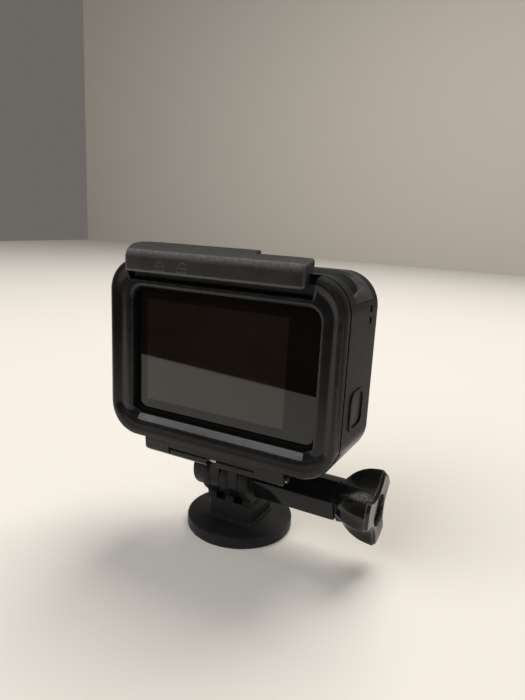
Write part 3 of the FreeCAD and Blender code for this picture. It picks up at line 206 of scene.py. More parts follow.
def make_finish(name, colour, roughness, grain, depth, wear, worn, worn_roughness,
                metallic=0.0, clear=0.0, scuffs=0.0, ior=1.5, patch=2.2, between=0.15):
    """A moulded, machined or polished surface with grain, mottling and worn edges."""
    material = bpy.data.materials.new(name)
    material.use_nodes = True
    tree = material.node_tree
    shader = tree.nodes["Principled BSDF"]
    broad = add_noise(tree, BROAD_SIZE, detail=4.0)
    patchy = add_noise(tree, patch * MM, detail=5.0, rough=0.7, shift=0.31)
    fine = add_noise(tree, grain * MM, detail=2.0, shift=0.17)
    darker, lighter = (tuple(share * part for part in colour) for share in BROAD_COLOURS)
    base = mix(tree, "RGBA", remap(tree, broad, 0.35, 0.65, 0.0, 1.0), darker, lighter)
    smoother, rougher = (share * roughness for share in BROAD_ROUGHNESS)
    rough = remap(tree, broad, 0.3, 0.7, smoother, rougher)
    handled_and_highlit = add_node(tree, "ShaderNodeAttribute", attribute_name=WEAR_AND_HIGHLIGHT_LAYER)
    sharp = math_node(tree, "MULTIPLY", edge_mask(tree, EDGE_WIDTH), SHARP_EDGE_WEAR)
    edges = math_node(tree, "MAXIMUM", sharp, handled_and_highlit.outputs["Fac"])
    edges = math_node(tree, "MULTIPLY", edges, remap(tree, patchy, 0.40, 0.60, between, 1.0))
    # This mask carries real wear, and on the latch and knob also painted highlights.
    wear_and_highlight_mask = math_node(tree, "MULTIPLY", edges, wear)
    if scuffs:
        marks = add_noise(tree, SCUFF_SIZE, detail=6.0, rough=0.75, shift=0.53)
        wear_and_highlight_mask = math_node(tree, "MAXIMUM", wear_and_highlight_mask, remap(tree, marks, 0.60, 0.68, 0.0, scuffs))
    base = mix(tree, "RGBA", wear_and_highlight_mask, base, worn)
    rough = mix(tree, "FLOAT", wear_and_highlight_mask, rough, worn_roughness)
    bump = add_node(tree, "ShaderNodeBump", Strength=0.8, Distance=depth * MM)
    tree.links.new(fine, bump.inputs["Height"])
    tree.links.new(base, shader.inputs["Base Color"])
    tree.links.new(rough, shader.inputs["Roughness"])
    tree.links.new(bump.outputs["Normal"], shader.inputs["Normal"])
    shader.inputs["Metallic"].default_value = metallic
    shader.inputs["IOR"].default_value = ior
    shader.inputs["Transmission Weight"].default_value = clear
    return material


finishes = {}
for slot_name, values in FINISHES.items():
    finishes[slot_name] = make_finish(slot_name, **values)

for part in frame["record"]["subparts"]:
    mesh = nodes[part["node"]].data
    mesh.materials.clear()
    mesh.materials.append(finishes[part["material_slot"]])


# Mesh helpers ------------------------------------------------------------------------------------

# Shapes are worked out in millimetres, as (x, y, z) with z up, and turned into metres at the end.
SHARP_ANGLE = math.radians(38)
WEAR_BULGE = (0.5, 1.1)  # radians per mm at which an edge starts to wear, and wears fully
NARROWEST_FACE = 0.1 * MM  # faces narrower than this count as this wide when a bulge is measured
WELD = 0.002 * MM  # points closer than this become one
LONGEST_REACH = 0.48  # how much of a side one rounded corner may take up


def smoothstep(low, high, value):
    """0 below low, 1 above high, and a smooth rise between."""
    share = min(max((value - low) / (high - low), 0.0), 1.0)
    return share * share * (3 - 2 * share)


def blend(first, second, share):
    """The value a share of the way from first to second."""
    return first + (second - first) * share


def curve_at(points, place):
    """The height at place on a line through (place, height) points, straight between them."""
    for (start, low), (end, high) in zip(points, points[1:]):
        if place <= end:
            return blend(low, high, (place - start) / (end - start))
    return points[-1][1]


def fillet(corners, steps=4):
    """A closed outline through (across, up, radius) corners, each rounded with steps + 1 points."""
    outline = []
    count = len(corners)
    for index, (across, up, radius) in enumerate(corners):
        here = Vector((across, up))
        before = Vector(corners[index - 1][:2]) - here
        after = Vector(corners[(index + 1) % count][:2]) - here
        half = before.angle(after) / 2
        shorter = min(before.length, after.length)
        reach = min(radius / math.tan(half), LONGEST_REACH * shorter)
        start = here + before.normalized() * reach
        end = here + after.normalized() * reach
        for step in range(steps + 1):
            share = step / steps
            low = start.lerp(here, share)
            high = here.lerp(end, share)
            outline.append(low.lerp(high, share))
    return [tuple(point) for point in outline]


def rounded_loop(left, right, low, high, radius, arc_steps=12, side_steps=(24, 16)):
    """A rounded rectangle as (across, up) points, anticlockwise from the middle of the right side."""
    centres = ((right - radius, high - radius), (left + radius, high - radius),
               (left + radius, low + radius), (right - radius, low + radius))
    loop = []
    for quarter, (across, up) in enumerate(centres):
        for step in range(arc_steps + 1):
            angle = math.radians(90 * (quarter + step / arc_steps))
            loop.append((across + radius * math.cos(angle), up + radius * math.sin(angle)))
        side = side_steps[quarter % 2]
        start = loop[-1]
        following = centres[(quarter + 1) % 4]
        turn = math.radians(90 * (quarter + 1))
        end = (following[0] + radius * math.cos(turn), following[1] + radius * math.sin(turn))
        for step in range(1, side):
            loop.append((blend(start[0], end[0], step / side), blend(start[1], end[1], step / side)))
    return loop


def circle_loop(across, up, radius, steps=64):
    """A circle as (across, up) points."""
    angles = [2 * math.pi * step / steps for step in range(steps)]
    return [(across + radius * math.cos(angle), up + radius * math.sin(angle)) for angle in angles]


def facing_rear(loop, depth):
    """(x, z) points at one y."""
    return [(across, depth, up) for across, up in loop]


def facing_side(loop, place):
    """(y, z) points at one x."""
    return [(place, across, up) for across, up in loop]


def facing_up(loop, height):
    """(x, y) points at one z."""
    return [(across, along, height) for across, along in loop]


def store_wear_and_highlight(work, exposure):
    """Record how worn each vertex is, and where the latch and knob get painted highlights, as
    exposure(bulge, x, y, z) says.

    bulge is how tightly the surface bulges there, from 0 (flat) to 1, and the place is in mm."""
    layer = work.verts.layers.float.new(WEAR_AND_HIGHLIGHT_LAYER)
    for vertex in work.verts:
        bulge = 0.0
        for edge in vertex.link_edges:
            if len(edge.link_faces) == 2:
                area = sum(face.calc_area() for face in edge.link_faces) / 2
                across = max(area / edge.calc_length(), NARROWEST_FACE)
                bulge = max(bulge, edge.calc_face_angle_signed() / across * MM)
        vertex[layer] = exposure(smoothstep(*WEAR_BULGE, bulge), *(vertex.co / MM))


def plain_wear(bulge, x, y, z):
    """Wear that only follows the shape."""
    return bulge


class Shell:
    """Gathers lofted surfaces into one mesh."""

    def __init__(self):
        self.points = []
        self.faces = []

    def loft(self, rings, closed=False, caps=True):
        """Skin equal rings in turn. A closed loft joins its last ring to its first."""
        base = len(self.points)
        count = len(rings[0])
        for ring in rings:
            self.points.extend(ring)
        starts = [base + count * index for index in range(len(rings))]
        pairs = list(zip(starts, starts[1:]))
        if closed:
            pairs.append((starts[-1], starts[0]))
        for low, high in pairs:
            for index in range(count):
                following = (index + 1) % count
                self.faces.append((low + index, low + following, high + following, high + index))
        if caps and not closed:
            self.faces.append(tuple(reversed(range(starts[0], starts[0] + count))))
            self.faces.append(tuple(range(starts[-1], starts[-1] + count)))

    def build(self, name, finish, body, replaces=(), exposure=plain_wear):
        """Make the piece, in metres, with its faces turned outwards, riding on its body."""
        mesh = bpy.data.meshes.new(name)
        points = [tuple(MM * part for part in point) for point in self.points]
        mesh.from_pydata(points, [], self.faces)
        work = bmesh.new()
        work.from_mesh(mesh)
        bmesh.ops.remove_doubles(work, verts=work.verts, dist=WELD)
        bmesh.ops.dissolve_degenerate(work, edges=work.edges, dist=WELD)
        bmesh.ops.recalc_face_normals(work, faces=work.faces)
        store_wear_and_highlight(work, exposure)
        work.to_mesh(mesh)
        work.free()
        mesh.shade_smooth()
        mesh.set_sharp_from_angle(angle=SHARP_ANGLE)
        mesh.materials.append(finishes[finish])
        piece = bpy.data.objects.new(name, mesh)
        bpy.context.collection.objects.link(piece)
        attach(piece, body)
        if replaces:
            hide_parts(*replaces)
        return piece


# Rear door ---------------------------------------------------------------------------------------

OPENING = (-23.3, 31.5, 37.0, 73.5, 3.5)  # left, right, low, high, corner radius
DOOR_OUTLINE = (-30.7, 37.5, 31.3, 80.8, 9.0)
DOOR_FRONT = -19.5
BOTTOM_LIP = 0.9  # how much higher the opening's lower lip stands than the CAD opening
RECESS = (-24.4, 29.7)  # the span of the top that is cut down for the latch
RECESS_LOW = 75.2
RECESS_REAR = -23.1
RIB = (-20.4, 74.6, 77.2)  # rear face, low and top of the catch rib
RIB_OVERHANG = 0.4  # how far the rib runs past each end of the recess
GROOVE = 0.93  # how far across the rail the groove at the seam with the frame reaches in
# Depth across a rail, from the opening (0) to the outside (1): a lip, a shallow valley and a bulge,
# and then the groove.
RAIL = ((0.0, -22.3), (0.03, -22.85), (0.09, -23.15), (0.16, -23.22), (0.30, -23.12), (0.42, -22.92),
        (0.50, -22.86), (0.56, -22.98), (0.64, -23.36), (0.72, -23.66), (0.80, -23.80), (0.87, -23.74),
        (0.93, -23.42), (0.975, -22.80), (1.0, -21.9), (1.0, -20.25), (GROOVE, -20.2))
# The rail under the opening has a broad sloping lip instead.
LOW_RAIL = ((0.0, -21.9), (0.010, -22.15), (0.035, -22.28), (0.055, -22.36), (0.16, -22.66),
            (0.27, -22.98), (0.285, -23.10), (0.292, -23.34), (0.31, -23.42), (0.50, -23.50),
            (0.66, -23.66), (0.80, -23.80), (0.91, -23.66), (0.97, -23.1), (1.0, -22.2),
            (1.0, -20.25), (GROOVE, -20.2))
LOW_RAIL_BAND = (3.2, 0.4)  # heights over the opening's foot where that lip begins, and is complete
DOOR_WEAR = 0.1  # the wear of its sharpest bulges
STRIP = (-24.5, 30.8, 36.0, 37.82, 0.85)  # left, right, low, high, end radius
STRIP_SLOPE = (-22.32, 0.42)  # depth at the top edge, and how much deeper per mm down
STRIP_PROFILE = ((0.0, 0.5), (0.0, 0.08), (0.04, 0.02), (0.12, 0.0))  # edge inset, depth below the face
HINGE_MIDDLE = 3.4  # the middle of the hinge lip, across
SKIRT_HALF = 13.7  # half its skirt's width
BLOCK_SPAN = (13.5, 21.4)  # near and far ends of each block, from the middle
BLOCK_FOOT = 27.5  # how low a block reaches where its foot isn't drawn up
# Along a block: the share of its span, and how far its foot is drawn up.
BLOCK_PROFILE = ((0.0, 0.5), (0.03, 0.18), (0.08, 0.0), (0.80, 0.0), (0.90, 0.25), (0.96, 0.7), (1.0, 1.4))


def rail_outline(rail):
    """A rail's depths, closed through the door's front face."""
    return ((0.0, DOOR_FRONT), *rail, (GROOVE, DOOR_FRONT))


def make_door():
    """The bezel round the display, its catch rib and its hinge lip."""
    shell = Shell()
    inner = rounded_loop(*OPENING, arc_steps=16, side_steps=(70, 40))
    outer = rounded_loop(*DOOR_OUTLINE, arc_steps=16, side_steps=(70, 40))
    foot, head = OPENING[2:4]
    band = [foot + rise for rise in LOW_RAIL_BAND]
    rings = []
    for (share, depth), (low_share, low_depth) in zip(rail_outline(RAIL), rail_outline(LOW_RAIL)):
        ring = []
        for near, far in zip(inner, outer):
            lowness = smoothstep(*band, near[1]) if near[1] < (foot + head) / 2 else 0.0
            part = blend(share, low_share, lowness)
            across = blend(near[0], far[0], part)
            up = blend(near[1] + BOTTOM_LIP * lowness, far[1], part)
            rear = blend(depth, low_depth, lowness)
            if RECESS[0] < across < RECESS[1] and up > RECESS_LOW:
                up = RECESS_LOW
                rear = max(rear, RECESS_REAR)
            ring.append((across, rear, up))
        rings.append(ring)
    shell.loft(rings, closed=True)
    rib_rear, rib_low, rib_top = RIB
    rib = fillet(((DOOR_FRONT, rib_low, 0.05), (DOOR_FRONT, rib_top, 0.25), (rib_rear, rib_top, 0.3),
                  (rib_rear, rib_low, 0.05)))
    shell.loft([facing_side(rib, place) for place in (RECESS[0] - RIB_OVERHANG, RECESS[1] + RIB_OVERHANG)])
    add_hinge_lip(shell)
    return shell.build("rear_door_bezel", "frame_plastic", "door", replaces=("rear_door",),
                       exposure=door_wear)


def door_wear(bulge, x, y, z):
    """The bezel is hardly worn."""
    return DOOR_WEAR * bulge


def add_hinge_lip(shell):
    """The skirt below the bezel and the two rounded blocks that hold the hinge pin."""
    skirt = fillet(((-20.6, 33.4, 0.1), (-20.6, 31.6, 0.2), (-21.6, 31.3, 0.3), (-22.6, 30.4, 0.5),
                    (-23.5, 30.2, 0.5), (-23.72, 31.4, 0.6), (-23.55, 33.4, 0.1)))
    shell.loft([facing_side(skirt, HINGE_MIDDLE + half) for half in (-SKIRT_HALF, SKIRT_HALF)])
    block = fillet(((-19.6, 32.6, 0.1), (-19.6, 28.6, 1.4), (-20.6, 27.45, 1.2), (-22.4, 27.7, 1.2),
                    (-23.55, 28.6, 0.8), (-23.74, 31.4, 0.8), (-23.5, 33.4, 0.1)))
    for side in (-1, 1):
        rings = []
        for share, rise in BLOCK_PROFILE:
            place = HINGE_MIDDLE + side * blend(*BLOCK_SPAN, share)
            ring = [(y, max(z, BLOCK_FOOT + rise) if z < 30 else z) for y, z in block]
            rings.append(facing_side(ring, place))
        shell.loft(rings)


def make_lip_strip():
    """The polished strip along the sloping lip under the display, light in colour as a painted reflection.
    """
    left, right, low, high, radius = STRIP
    top_depth, slope = STRIP_SLOPE
    shell = Shell()
    rings = []
    for inset, sink in STRIP_PROFILE:
        loop = rounded_loop(left + inset, right - inset, low + inset, high - inset, radius - inset,
                            side_steps=(50, 4))
        rings.append([(x, top_depth - slope * (high - z) + sink, z) for x, z in loop])
    shell.loft(rings)
    return shell.build("door_lip_strip", "lip_painted_reflection", "door")


# Frame corner ------------------------------------------------------------------------------------

CORNER_MIDDLE = (28.5, 71.8)  # x and z of the middle of the frame's top right corner
CORNER_RADII = (7.97, 9.02)  # the floor of the finger recess there, and the frame's outer surface
CORNER_FRONT = -2.9
CORNER_LEFT = 12.2
CORNER_STEPS = 60
# How far the raised surface reaches back, by degrees round the corner. Beyond it the recess stays.
CORNER_REAR = ((17.2, -15.55), (28.0, -15.4), (33.0, -13.5), (38.0, -9.5), (45.0, -7.4), (60.0, -6.4),
               (80.0, -4.6), (91.3, -3.85))
WALL_SLOPE = (0.2, 2.2)  # how far the rear wall leans forward, where it is steep and where it slopes
WALL_SLOPING = (28.0, 45.0)  # degrees between which the steep wall turns into the sloping one
WALL_EASING = (60.0, 90.0)  # degrees between which it gets steeper again
WALL_EASED = 0.3  # the share of its slope that is left then
CORNER_FLOOR = (33.0, 91.3)  # degrees round the corner where the near-black sheet of painted shade on the floor begins and ends
FLOOR_SPAN = (-15.55, -3.9)  # its rear and front
FLOOR_RADII = (7.9, 8.03)


def round_corner(degrees, section):
    """(y, radius) points as a ring, so many degrees round the frame's top right corner."""
    turn = math.radians(degrees)
    across, up = CORNER_MIDDLE
    return [(across + radius * math.cos(turn), y, up + radius * math.sin(turn)) for y, radius in section]


def corner_section(degrees):
    """The raised surface's outline, as (y, radius) points, so many degrees round the corner."""
    low, high = CORNER_RADII
    rear = curve_at(CORNER_REAR, degrees)
    slope = blend(*WALL_SLOPE, smoothstep(*WALL_SLOPING, degrees))
    slope *= blend(1.0, WALL_EASED, smoothstep(*WALL_EASING, degrees))
    return fillet(((CORNER_FRONT, low, 0.05), (rear, low, 0.05), (rear + slope, high, 0.6),
                   (CORNER_FRONT, high, 0.05)))


def make_frame_corner():
    """The recess's sloping front wall, which turns the corner and closes it in a wedge, lighter than the
    frame as a painted highlight, and its floor, a near-black sheet of painted shade.
    """
    shares = [step / CORNER_STEPS for step in range(CORNER_STEPS + 1)]
    first, last = CORNER_REAR[0][0], CORNER_REAR[-1][0]
    wall = Shell()
    rings = [round_corner(degrees, corner_section(degrees))
             for degrees in (blend(first, last, share) for share in shares)]
    rings.append([(CORNER_LEFT, y, CORNER_MIDDLE[1] + radius) for y, radius in corner_section(last)])
    wall.loft(rings)
    wall.build("frame_corner", "frame_gloss_painted_highlight", "frame_and_camera")
    rear, front = FLOOR_SPAN
    low, high = FLOOR_RADII
    section = ((rear, low), (front, low), (front, high), (rear, high))
    floor = Shell()
    floor.loft([round_corner(blend(*CORNER_FLOOR, share), section) for share in shares])
    floor.build("frame_corner_shade_sheet", "recess_painted_shade", "frame_and_camera")


# Latch -------------------------------------------------------------------------------------------

LATCH_SPAN = (-24.0, 27.9)
LATCH_REAR = -25.2
LATCH_LOW = 77.5
LATCH_STEP = 11.5  # the deep part is left of this
STEP_HALF = 0.35  # half the width of the step down from it
LATCH_FRONTS = (-19.3, -14.95)  # of the shallow part and of the deep part, as are the next two
LATCH_TOPS = (84.4, 85.0)
LATCH_RIDGES = (-19.9, -16.7)  # where the top stops rising
LATCH_CORNER = 6.5  # plan radius of the far left corner
# Cut out under the bar, at its left end and over the frame's two lugs.
SLOTS = ((-99.0, -18.0), (-15.25, -11.75), (4.75, 8.25))
SLOT_REAR = -18.1
SLOT_TOP = 84.0
FOOT_REAR = -17.6  # how far back the bar's underside reaches between the slots
LATCH_WEAR_AND_HIGHLIGHT = ((82.3, 83.1), (-23.95, -24.4))  # z and y between which the wear and the painted highlight of the slanted edge set in
# Distance from each end, and how far the outline is drawn in there.
LEFT_END = ((0.0, 0.8), (0.08, 0.4), (0.3, 0.12))
RIGHT_END = ((0.75, 0.06), (0.4, 0.25), (0.14, 0.6), (0.0, 1.05))


def latch_section(place):
    """The latch's outline across its length at one x, with the same points everywhere."""
    deep = 1.0 - smoothstep(LATCH_STEP - STEP_HALF, LATCH_STEP + STEP_HALF, place)
    front = blend(*LATCH_FRONTS, deep)
    from_corner = LATCH_SPAN[0] + LATCH_CORNER - place
    if from_corner > 0:
        front -= LATCH_CORNER - math.sqrt(max(LATCH_CORNER ** 2 - from_corner ** 2, 0.0))
    top = blend(*LATCH_TOPS, deep)
    ridge = min(blend(*LATCH_RIDGES, deep), front - 0.5)
    if front > FOOT_REAR and any(left < place < right for left, right in SLOTS):
        under = ((front, SLOT_TOP, 0.1), (SLOT_REAR, SLOT_TOP, 0.1), (SLOT_REAR, 81.2, 0.1))
    else:
        rear = min(FOOT_REAR, front - 1.2)
        under = ((front, 82.3, 0.3), (blend(front, rear, 0.4), 81.4, 0.3), (rear, 81.2, 0.2))
    return ((-22.6, 81.2, 0.3), (-22.6, LATCH_LOW, 0.35), (LATCH_REAR, LATCH_LOW, 0.9),
            (LATCH_REAR, 81.5, 0.6), (LATCH_REAR + 0.75, 83.3, 0.8), (ridge, top, 0.8),
            (front, top, 0.7), *under)


def latch_wear_and_highlight(bulge, x, y, z):
    """Hands wear the slanted edge along the latch's top most; its light band there is also a painted
    highlight.
    """
    heights, depths = LATCH_WEAR_AND_HIGHLIGHT
    return max(0.3 * bulge, smoothstep(*heights, z) * smoothstep(*depths, y))


def make_latch():
    """The bar that holds the rear door shut, cut finely where its outline changes."""
    left_end, right_end = LATCH_SPAN
    places = set(range(-16, 27, 4))
    for slot in SLOTS:
        places.update(edge + side for edge in slot for side in (-0.02, 0.02))
    places.update(left_end + LATCH_CORNER * (1 - math.cos(math.radians(9 * step))) for step in range(11))
    places.update(LATCH_STEP + STEP_HALF * step / 3 for step in range(-3, 4))
    rings = [(left_end + rise, inset) for rise, inset in LEFT_END]
    rings += [(place, 0.0) for place in sorted(places) if left_end + 0.7 <= place <= right_end - 1.1]
    rings += [(right_end - fall, inset) for fall, inset in RIGHT_END]
    shell = Shell()
    shell.loft([shrunk_section(place, inset) for place, inset in rings])
    return shell.build("latch_bar", "latch_plastic", "latch", replaces=("latch_lever",), exposure=latch_wear_and_highlight)


def shrunk_section(place, inset):
    """The latch's outline at one x, drawn in by inset to round off the bar's ends."""
    outline = fillet(latch_section(place), steps=5)
    low_y, high_y = min(y for y, z in outline), max(y for y, z in outline)
    low_z, high_z = min(z for y, z in outline), max(z for y, z in outline)
    ring = []
    for y, z in outline:
        y = blend(y, (low_y + high_y) / 2, 2 * inset / (high_y - low_y))
        z = blend(z, (low_z + high_z) / 2, 2 * inset / (high_z - low_z))
        ring.append((place, y, z))
    return ring


# Foot --------------------------------------------------------------------------------------------

TILT = (-3.4, 18.5)  # (y, z) of the tilt axis
DISC_RADIUS = 16.1
PRONG_RADIUS = 7.5
PRONG_PITCH = 6.05
PRONG_WIDTH = 2.9
# Across a prong, from face (-1) to face (1), and how far its outline is drawn in.
PRONG_PROFILE = ((-1.0, 0.3), (-0.93, 0.08), (-0.8, 0.0), (0.8, 0.0), (0.93, 0.08), (1.0, 0.3))
BOSS = (-11.3, -7.4, 6.4)  # left end, right end, radius
NUT_CORNER = 4.62
NUT_DEPTH = 3.7
# The disc's radius and height, from the thread's recess round to the block.
DISC_PROFILE = ((4.0, 7.0), (4.0, 0.25), (4.3, 0.0), (15.6, 0.0), (15.95, 0.12), (DISC_RADIUS, 0.5),
                (DISC_RADIUS, 2.95), (15.98, 3.28), (15.6, 3.46), (15.0, 3.5), (12.2, 3.5))
# Half the block's width and length, and the height.
FOOT_BLOCK = ((8.5, 7.9, 3.5), (8.15, 7.55, 3.56), (8.0, 7.4, 3.75), (7.98, 7.38, 4.0), (7.62, 7.02, 4.25),
              (7.52, 6.92, 4.7), (7.5, 6.9, 5.5), (7.5, 6.9, 9.3), (7.46, 6.86, 9.5), (7.35, 6.75, 9.6))


def soft_box_radius(angle, half_across, half_along, power=14):
    """The distance from the middle to the edge of a round-cornered rectangle, at one angle."""
    total = abs(math.cos(angle) / half_across) ** power + abs(math.sin(angle) / half_along) ** power
    return total ** (-1 / power)


def polar_loop(radius_at, steps=128):
    """Points around the middle, each as far out as radius_at says for its angle."""
    angles = [2 * math.pi * step / steps for step in range(steps)]
    return [(radius_at(angle) * math.cos(angle), radius_at(angle) * math.sin(angle)) for angle in angles]


def prong_outline():
    """A prong from the side, as (y, z) points: a round eye on a foot that joins the block."""
    y, z = TILT
    rear_angle = math.pi + math.asin(6.15 / PRONG_RADIUS)
    outline = [(4.1, 9.1)]
    for step in range(41):
        angle = blend(0.0, rear_angle, step / 40)
        outline.append((y + PRONG_RADIUS * math.cos(angle), z + PRONG_RADIUS * math.sin(angle)))
    outline += [(-7.25, 11.9), (-6.95, 11.2), (-6.88, 10.4), (-6.87, 9.1)]
    return outline


def inset_outline(outline, middle, inset):
    """An outline drawn in towards its middle by about inset."""
    ring = []
    for across, up in outline:
        away = Vector((across - middle[0], up - middle[1]))
        ring.append(tuple(Vector(middle) + away * (1 - inset / away.length)))
    return ring


def make_foot():
    """The disc, its block, three prongs and the boss that holds the nut."""
    shell = Shell()
    rings = [facing_up(circle_loop(0, 0, radius, 128), height) for radius, height in DISC_PROFILE]
    for half_across, half_along, height in FOOT_BLOCK:
        loop = polar_loop(lambda angle: soft_box_radius(angle, half_across, half_along))
        rings.append(facing_up(loop, height))
    shell.loft(rings)
    outline = prong_outline()
    for step in (-1, 0, 1):
        middle = PRONG_PITCH * step
        shell.loft([facing_side(inset_outline(outline, TILT, inset), middle + share * PRONG_WIDTH / 2)
                    for share, inset in PRONG_PROFILE])
    left, right, radius = BOSS
    boss = ((right, radius), (left + 0.5, radius), (left + 0.12, radius - 0.12), (left, radius - 0.5))
    rings = [facing_side(circle_loop(*TILT, edge, 72), place) for place, edge in boss]
    for place in (left, left + NUT_DEPTH):
        loop = polar_loop(lambda angle: hexagon_radius(angle, NUT_CORNER), 72)
        rings.append([(place, TILT[0] + y, TILT[1] + z) for y, z in loop])
    shell.loft(rings)
    return shell.build("foot_body", "foot_plastic", "foot", replaces=("tripod_foot",))


# Thumbscrew --------------------------------------------------------------------------------------

LOBE_ANGLE = 48  # degrees from +y towards +z
NECK_CORNER = 6.15
KNOB_RADIUS = 10.6
SCALLOP = (15.0, 9.4)  # distance of its middle, radius
DISH = (4.45, 1.2)  # radius, depth
# Along the knob: x, how far from neck (0) to lobes (1), and how far the edge is drawn in.
KNOB_PROFILE = ((8.3, 0.0, 0.5), (8.45, 0.0, 0.15), (8.8, 0.0, 0.0), (20.0, 0.0, 0.0), (32.7, 0.0, 0.0),
                (33.1, 0.0, 0.12), (33.3, 0.0, 0.7), (33.75, 0.0, 0.7), (33.85, 0.10, 0.0),
                (34.4, 0.22, 0.0), (35.0, 0.36, 0.0), (35.7, 0.49, 0.0), (36.5, 0.61, 0.0),
                (37.3, 0.71, 0.0), (38.2, 0.80, 0.0), (39.2, 0.88, 0.0), (40.4, 0.94, 0.0),
                (41.8, 0.98, 0.0), (43.15, 1.0, 0.0), (43.35, 1.0, 0.05), (43.55, 1.0, 0.2),
                (44.15, 1.0, 0.72), (44.3, 1.0, 0.9))
KNOB_PATCH = (40.5, -8.6, 22.6)  # the middle of a worn patch in one scallop, with its glints painted on
PATCH_REACH = (3.6, 2.0)  # how far from its middle the patch starts, and is fully worn
KNOB_RIM = (43.0, 43.4)  # x between which the wear and the painted highlight of the knob's end set in
NECK_SOFTNESS = 0.12  # how round the neck's hexagon is, from 0 to 1
EDGE_SOFTNESS = 0.8  # how softly a lobe turns into a scallop, in mm


def hexagon_radius(angle, corner, turn=0.0, softness=0.0):
    """The distance from the middle to the edge of a hexagon, at one angle."""
    local = (angle - turn) % math.radians(60) - math.radians(30)
    sharp = corner * math.cos(math.radians(30)) / math.cos(local)
    return blend(sharp, corner * 0.95, softness)


def lobed_radius(angle):
    """The distance from the middle to the knob's edge, rounded where a lobe meets a scallop."""
    distance, scallop = SCALLOP
    radius = KNOB_RADIUS
    for turn in range(3):
        local = angle - math.radians(LOBE_ANGLE + 60 + 120 * turn)
        local = (local + math.pi) % (2 * math.pi) - math.pi
        room = scallop ** 2 - (distance * math.sin(local)) ** 2
        if abs(local) < math.pi / 2 and room > 0:
            cut = distance * math.cos(local) - math.sqrt(room)
            gap = max(EDGE_SOFTNESS - abs(radius - cut), 0.0) / EDGE_SOFTNESS
            radius = min(radius, cut) - gap * gap * EDGE_SOFTNESS / 4
    return radius


def make_knob():
    """The long-necked knob, flared into three lobes, with a dished end."""
    shell = Shell()
    rings = []
    turn = math.radians(LOBE_ANGLE)

    def ring_at(place, radius_at):
        return [(place, TILT[0] + y, TILT[1] + z) for y, z in polar_loop(radius_at, 144)]

    for place, share, inset in KNOB_PROFILE:
        rings.append(ring_at(place, lambda angle: blend(
            hexagon_radius(angle, NECK_CORNER, turn, NECK_SOFTNESS), lobed_radius(angle), share) - inset))
    radius, depth = DISH
    end = KNOB_PROFILE[-1][0]
    for place, edge in ((end, radius + 0.12), (end - 0.06, radius), (end - depth + 0.2, radius - 0.15),
                        (end - depth, radius - 0.5), (end - depth, 2.4), (end - depth + 0.25, 2.2)):
        rings.append(ring_at(place, lambda angle: edge))
    shell.loft(rings)
    return shell.build("thumbscrew_grip", "knob_plastic", "thumbscrew", replaces=("thumbscrew_knob",),
                       exposure=knob_wear_and_highlight)


def knob_wear_and_highlight(bulge, x, y, z):
    """The rim of the knob's end is worn and painted light as a highlight, and one patch that a thumb rubs is
    worn, with painted glints. The rest hardly is.
    """
    rubbed = smoothstep(*PATCH_REACH, math.dist((x, y, z), KNOB_PATCH))
    return max(bulge * blend(0.05, 0.8, smoothstep(*KNOB_RIM, x)), 0.9 * rubbed)


# Display -----------------------------------------------------------------------------------------

# A near-black sheet of painted shade in the gap between the bezel and the display, where the inner wall lies
# in shade.
GAP_SHADE_INNER = (-22.75, 31.1, 39.3, 73.0, 2.8)  # left, right, low, high, corner radius
GAP_SHADE_OUTER = (-23.6, 31.8, 36.9, 73.8, 3.8)
GAP_SHADE_DEPTHS = (-21.05, -21.3)
GLASS_CORNER = 2.6
# From the glass's front round its ground edge to its face: the inset, and the depth from that face.
GLASS_EDGE = ((0.0, 0.22), (0.06, 0.07), (0.22, 0.0), (1.2, 0.0))
ACTIVE_AREA = (-19.7, 22.6, 42.0, 70.2, 0.15)
ACTIVE_DEPTHS = (0.3, -0.012)  # its front and rear, from the glass's face


def node_box(node):
    """A node's lowest and highest corners, in millimetres."""
    low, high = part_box(node)
    return [part / MM for part in low], [part / MM for part in high]


def make_display_gap_shade():
    """A near-black sheet of painted shade that fills the gap between the bezel and the display."""
    gap_shade = Shell()
    inner = rounded_loop(*GAP_SHADE_INNER, side_steps=(30, 20))
    outer = rounded_loop(*GAP_SHADE_OUTER, side_steps=(30, 20))
    front, rear = GAP_SHADE_DEPTHS
    gap_shade.loft([facing_rear(outer, front), facing_rear(outer, rear), facing_rear(inner, rear),
               facing_rear(inner, front)], closed=True)
    return gap_shade.build("display_gap_shade", "seal_rubber", "door")


def make_display():
    """The glass over the display, with its ground edge, and the panel that shows through it."""
    low, high = node_box("rear_glass")
    face = low[1]
    glass = Shell()
    rings = []
    for inset, depth in ((0.0, high[1]), *((inset, face + rise) for inset, rise in GLASS_EDGE)):
        loop = rounded_loop(low[0] + inset, high[0] - inset, low[2] + inset, high[2] - inset,
                            GLASS_CORNER - inset)
        rings.append(facing_rear(loop, depth))
    glass.loft(rings)
    glass.build("rear_glass_panel", "black_glass", "frame_and_camera", replaces=("rear_glass",))
    panel = Shell()
    loop = rounded_loop(*ACTIVE_AREA)
    panel.loft([facing_rear(loop, face + rise) for rise in ACTIVE_DEPTHS])
    panel.build("display_area", "display", "frame_and_camera")


# Buttons and signs -------------------------------------------------------------------------------

REARWARD = Vector((0, -1, 0))
RIGHTWARD = Vector((1, 0, 0))
LOCK_LOW = 78.5
LOCK_HALF = 1.7  # half a padlock's width
LOCK_HEIGHT = 1.0
SHACKLE_RADIUS = 1.05
LOCKS = ((-12.4, 0.0), (-5.4, 0.3))  # each one's middle, and how far its shackle is lifted open
LOCK_LINE = 0.14  # radius of the raised line
SIGN_LINE = 0.11
SIGN_RADIUS = 0.75
SIGN_HALVES = (1.15, 1.7)  # half the width and height of the frame round the sign
LINE_HEIGHT = 0.6  # how far a line stands up, as a share of its radius
BUTTON_CORNER = 1.3
BUTTON_RIM = (0.55, 0.3)  # insets between which the rim's wear sets in


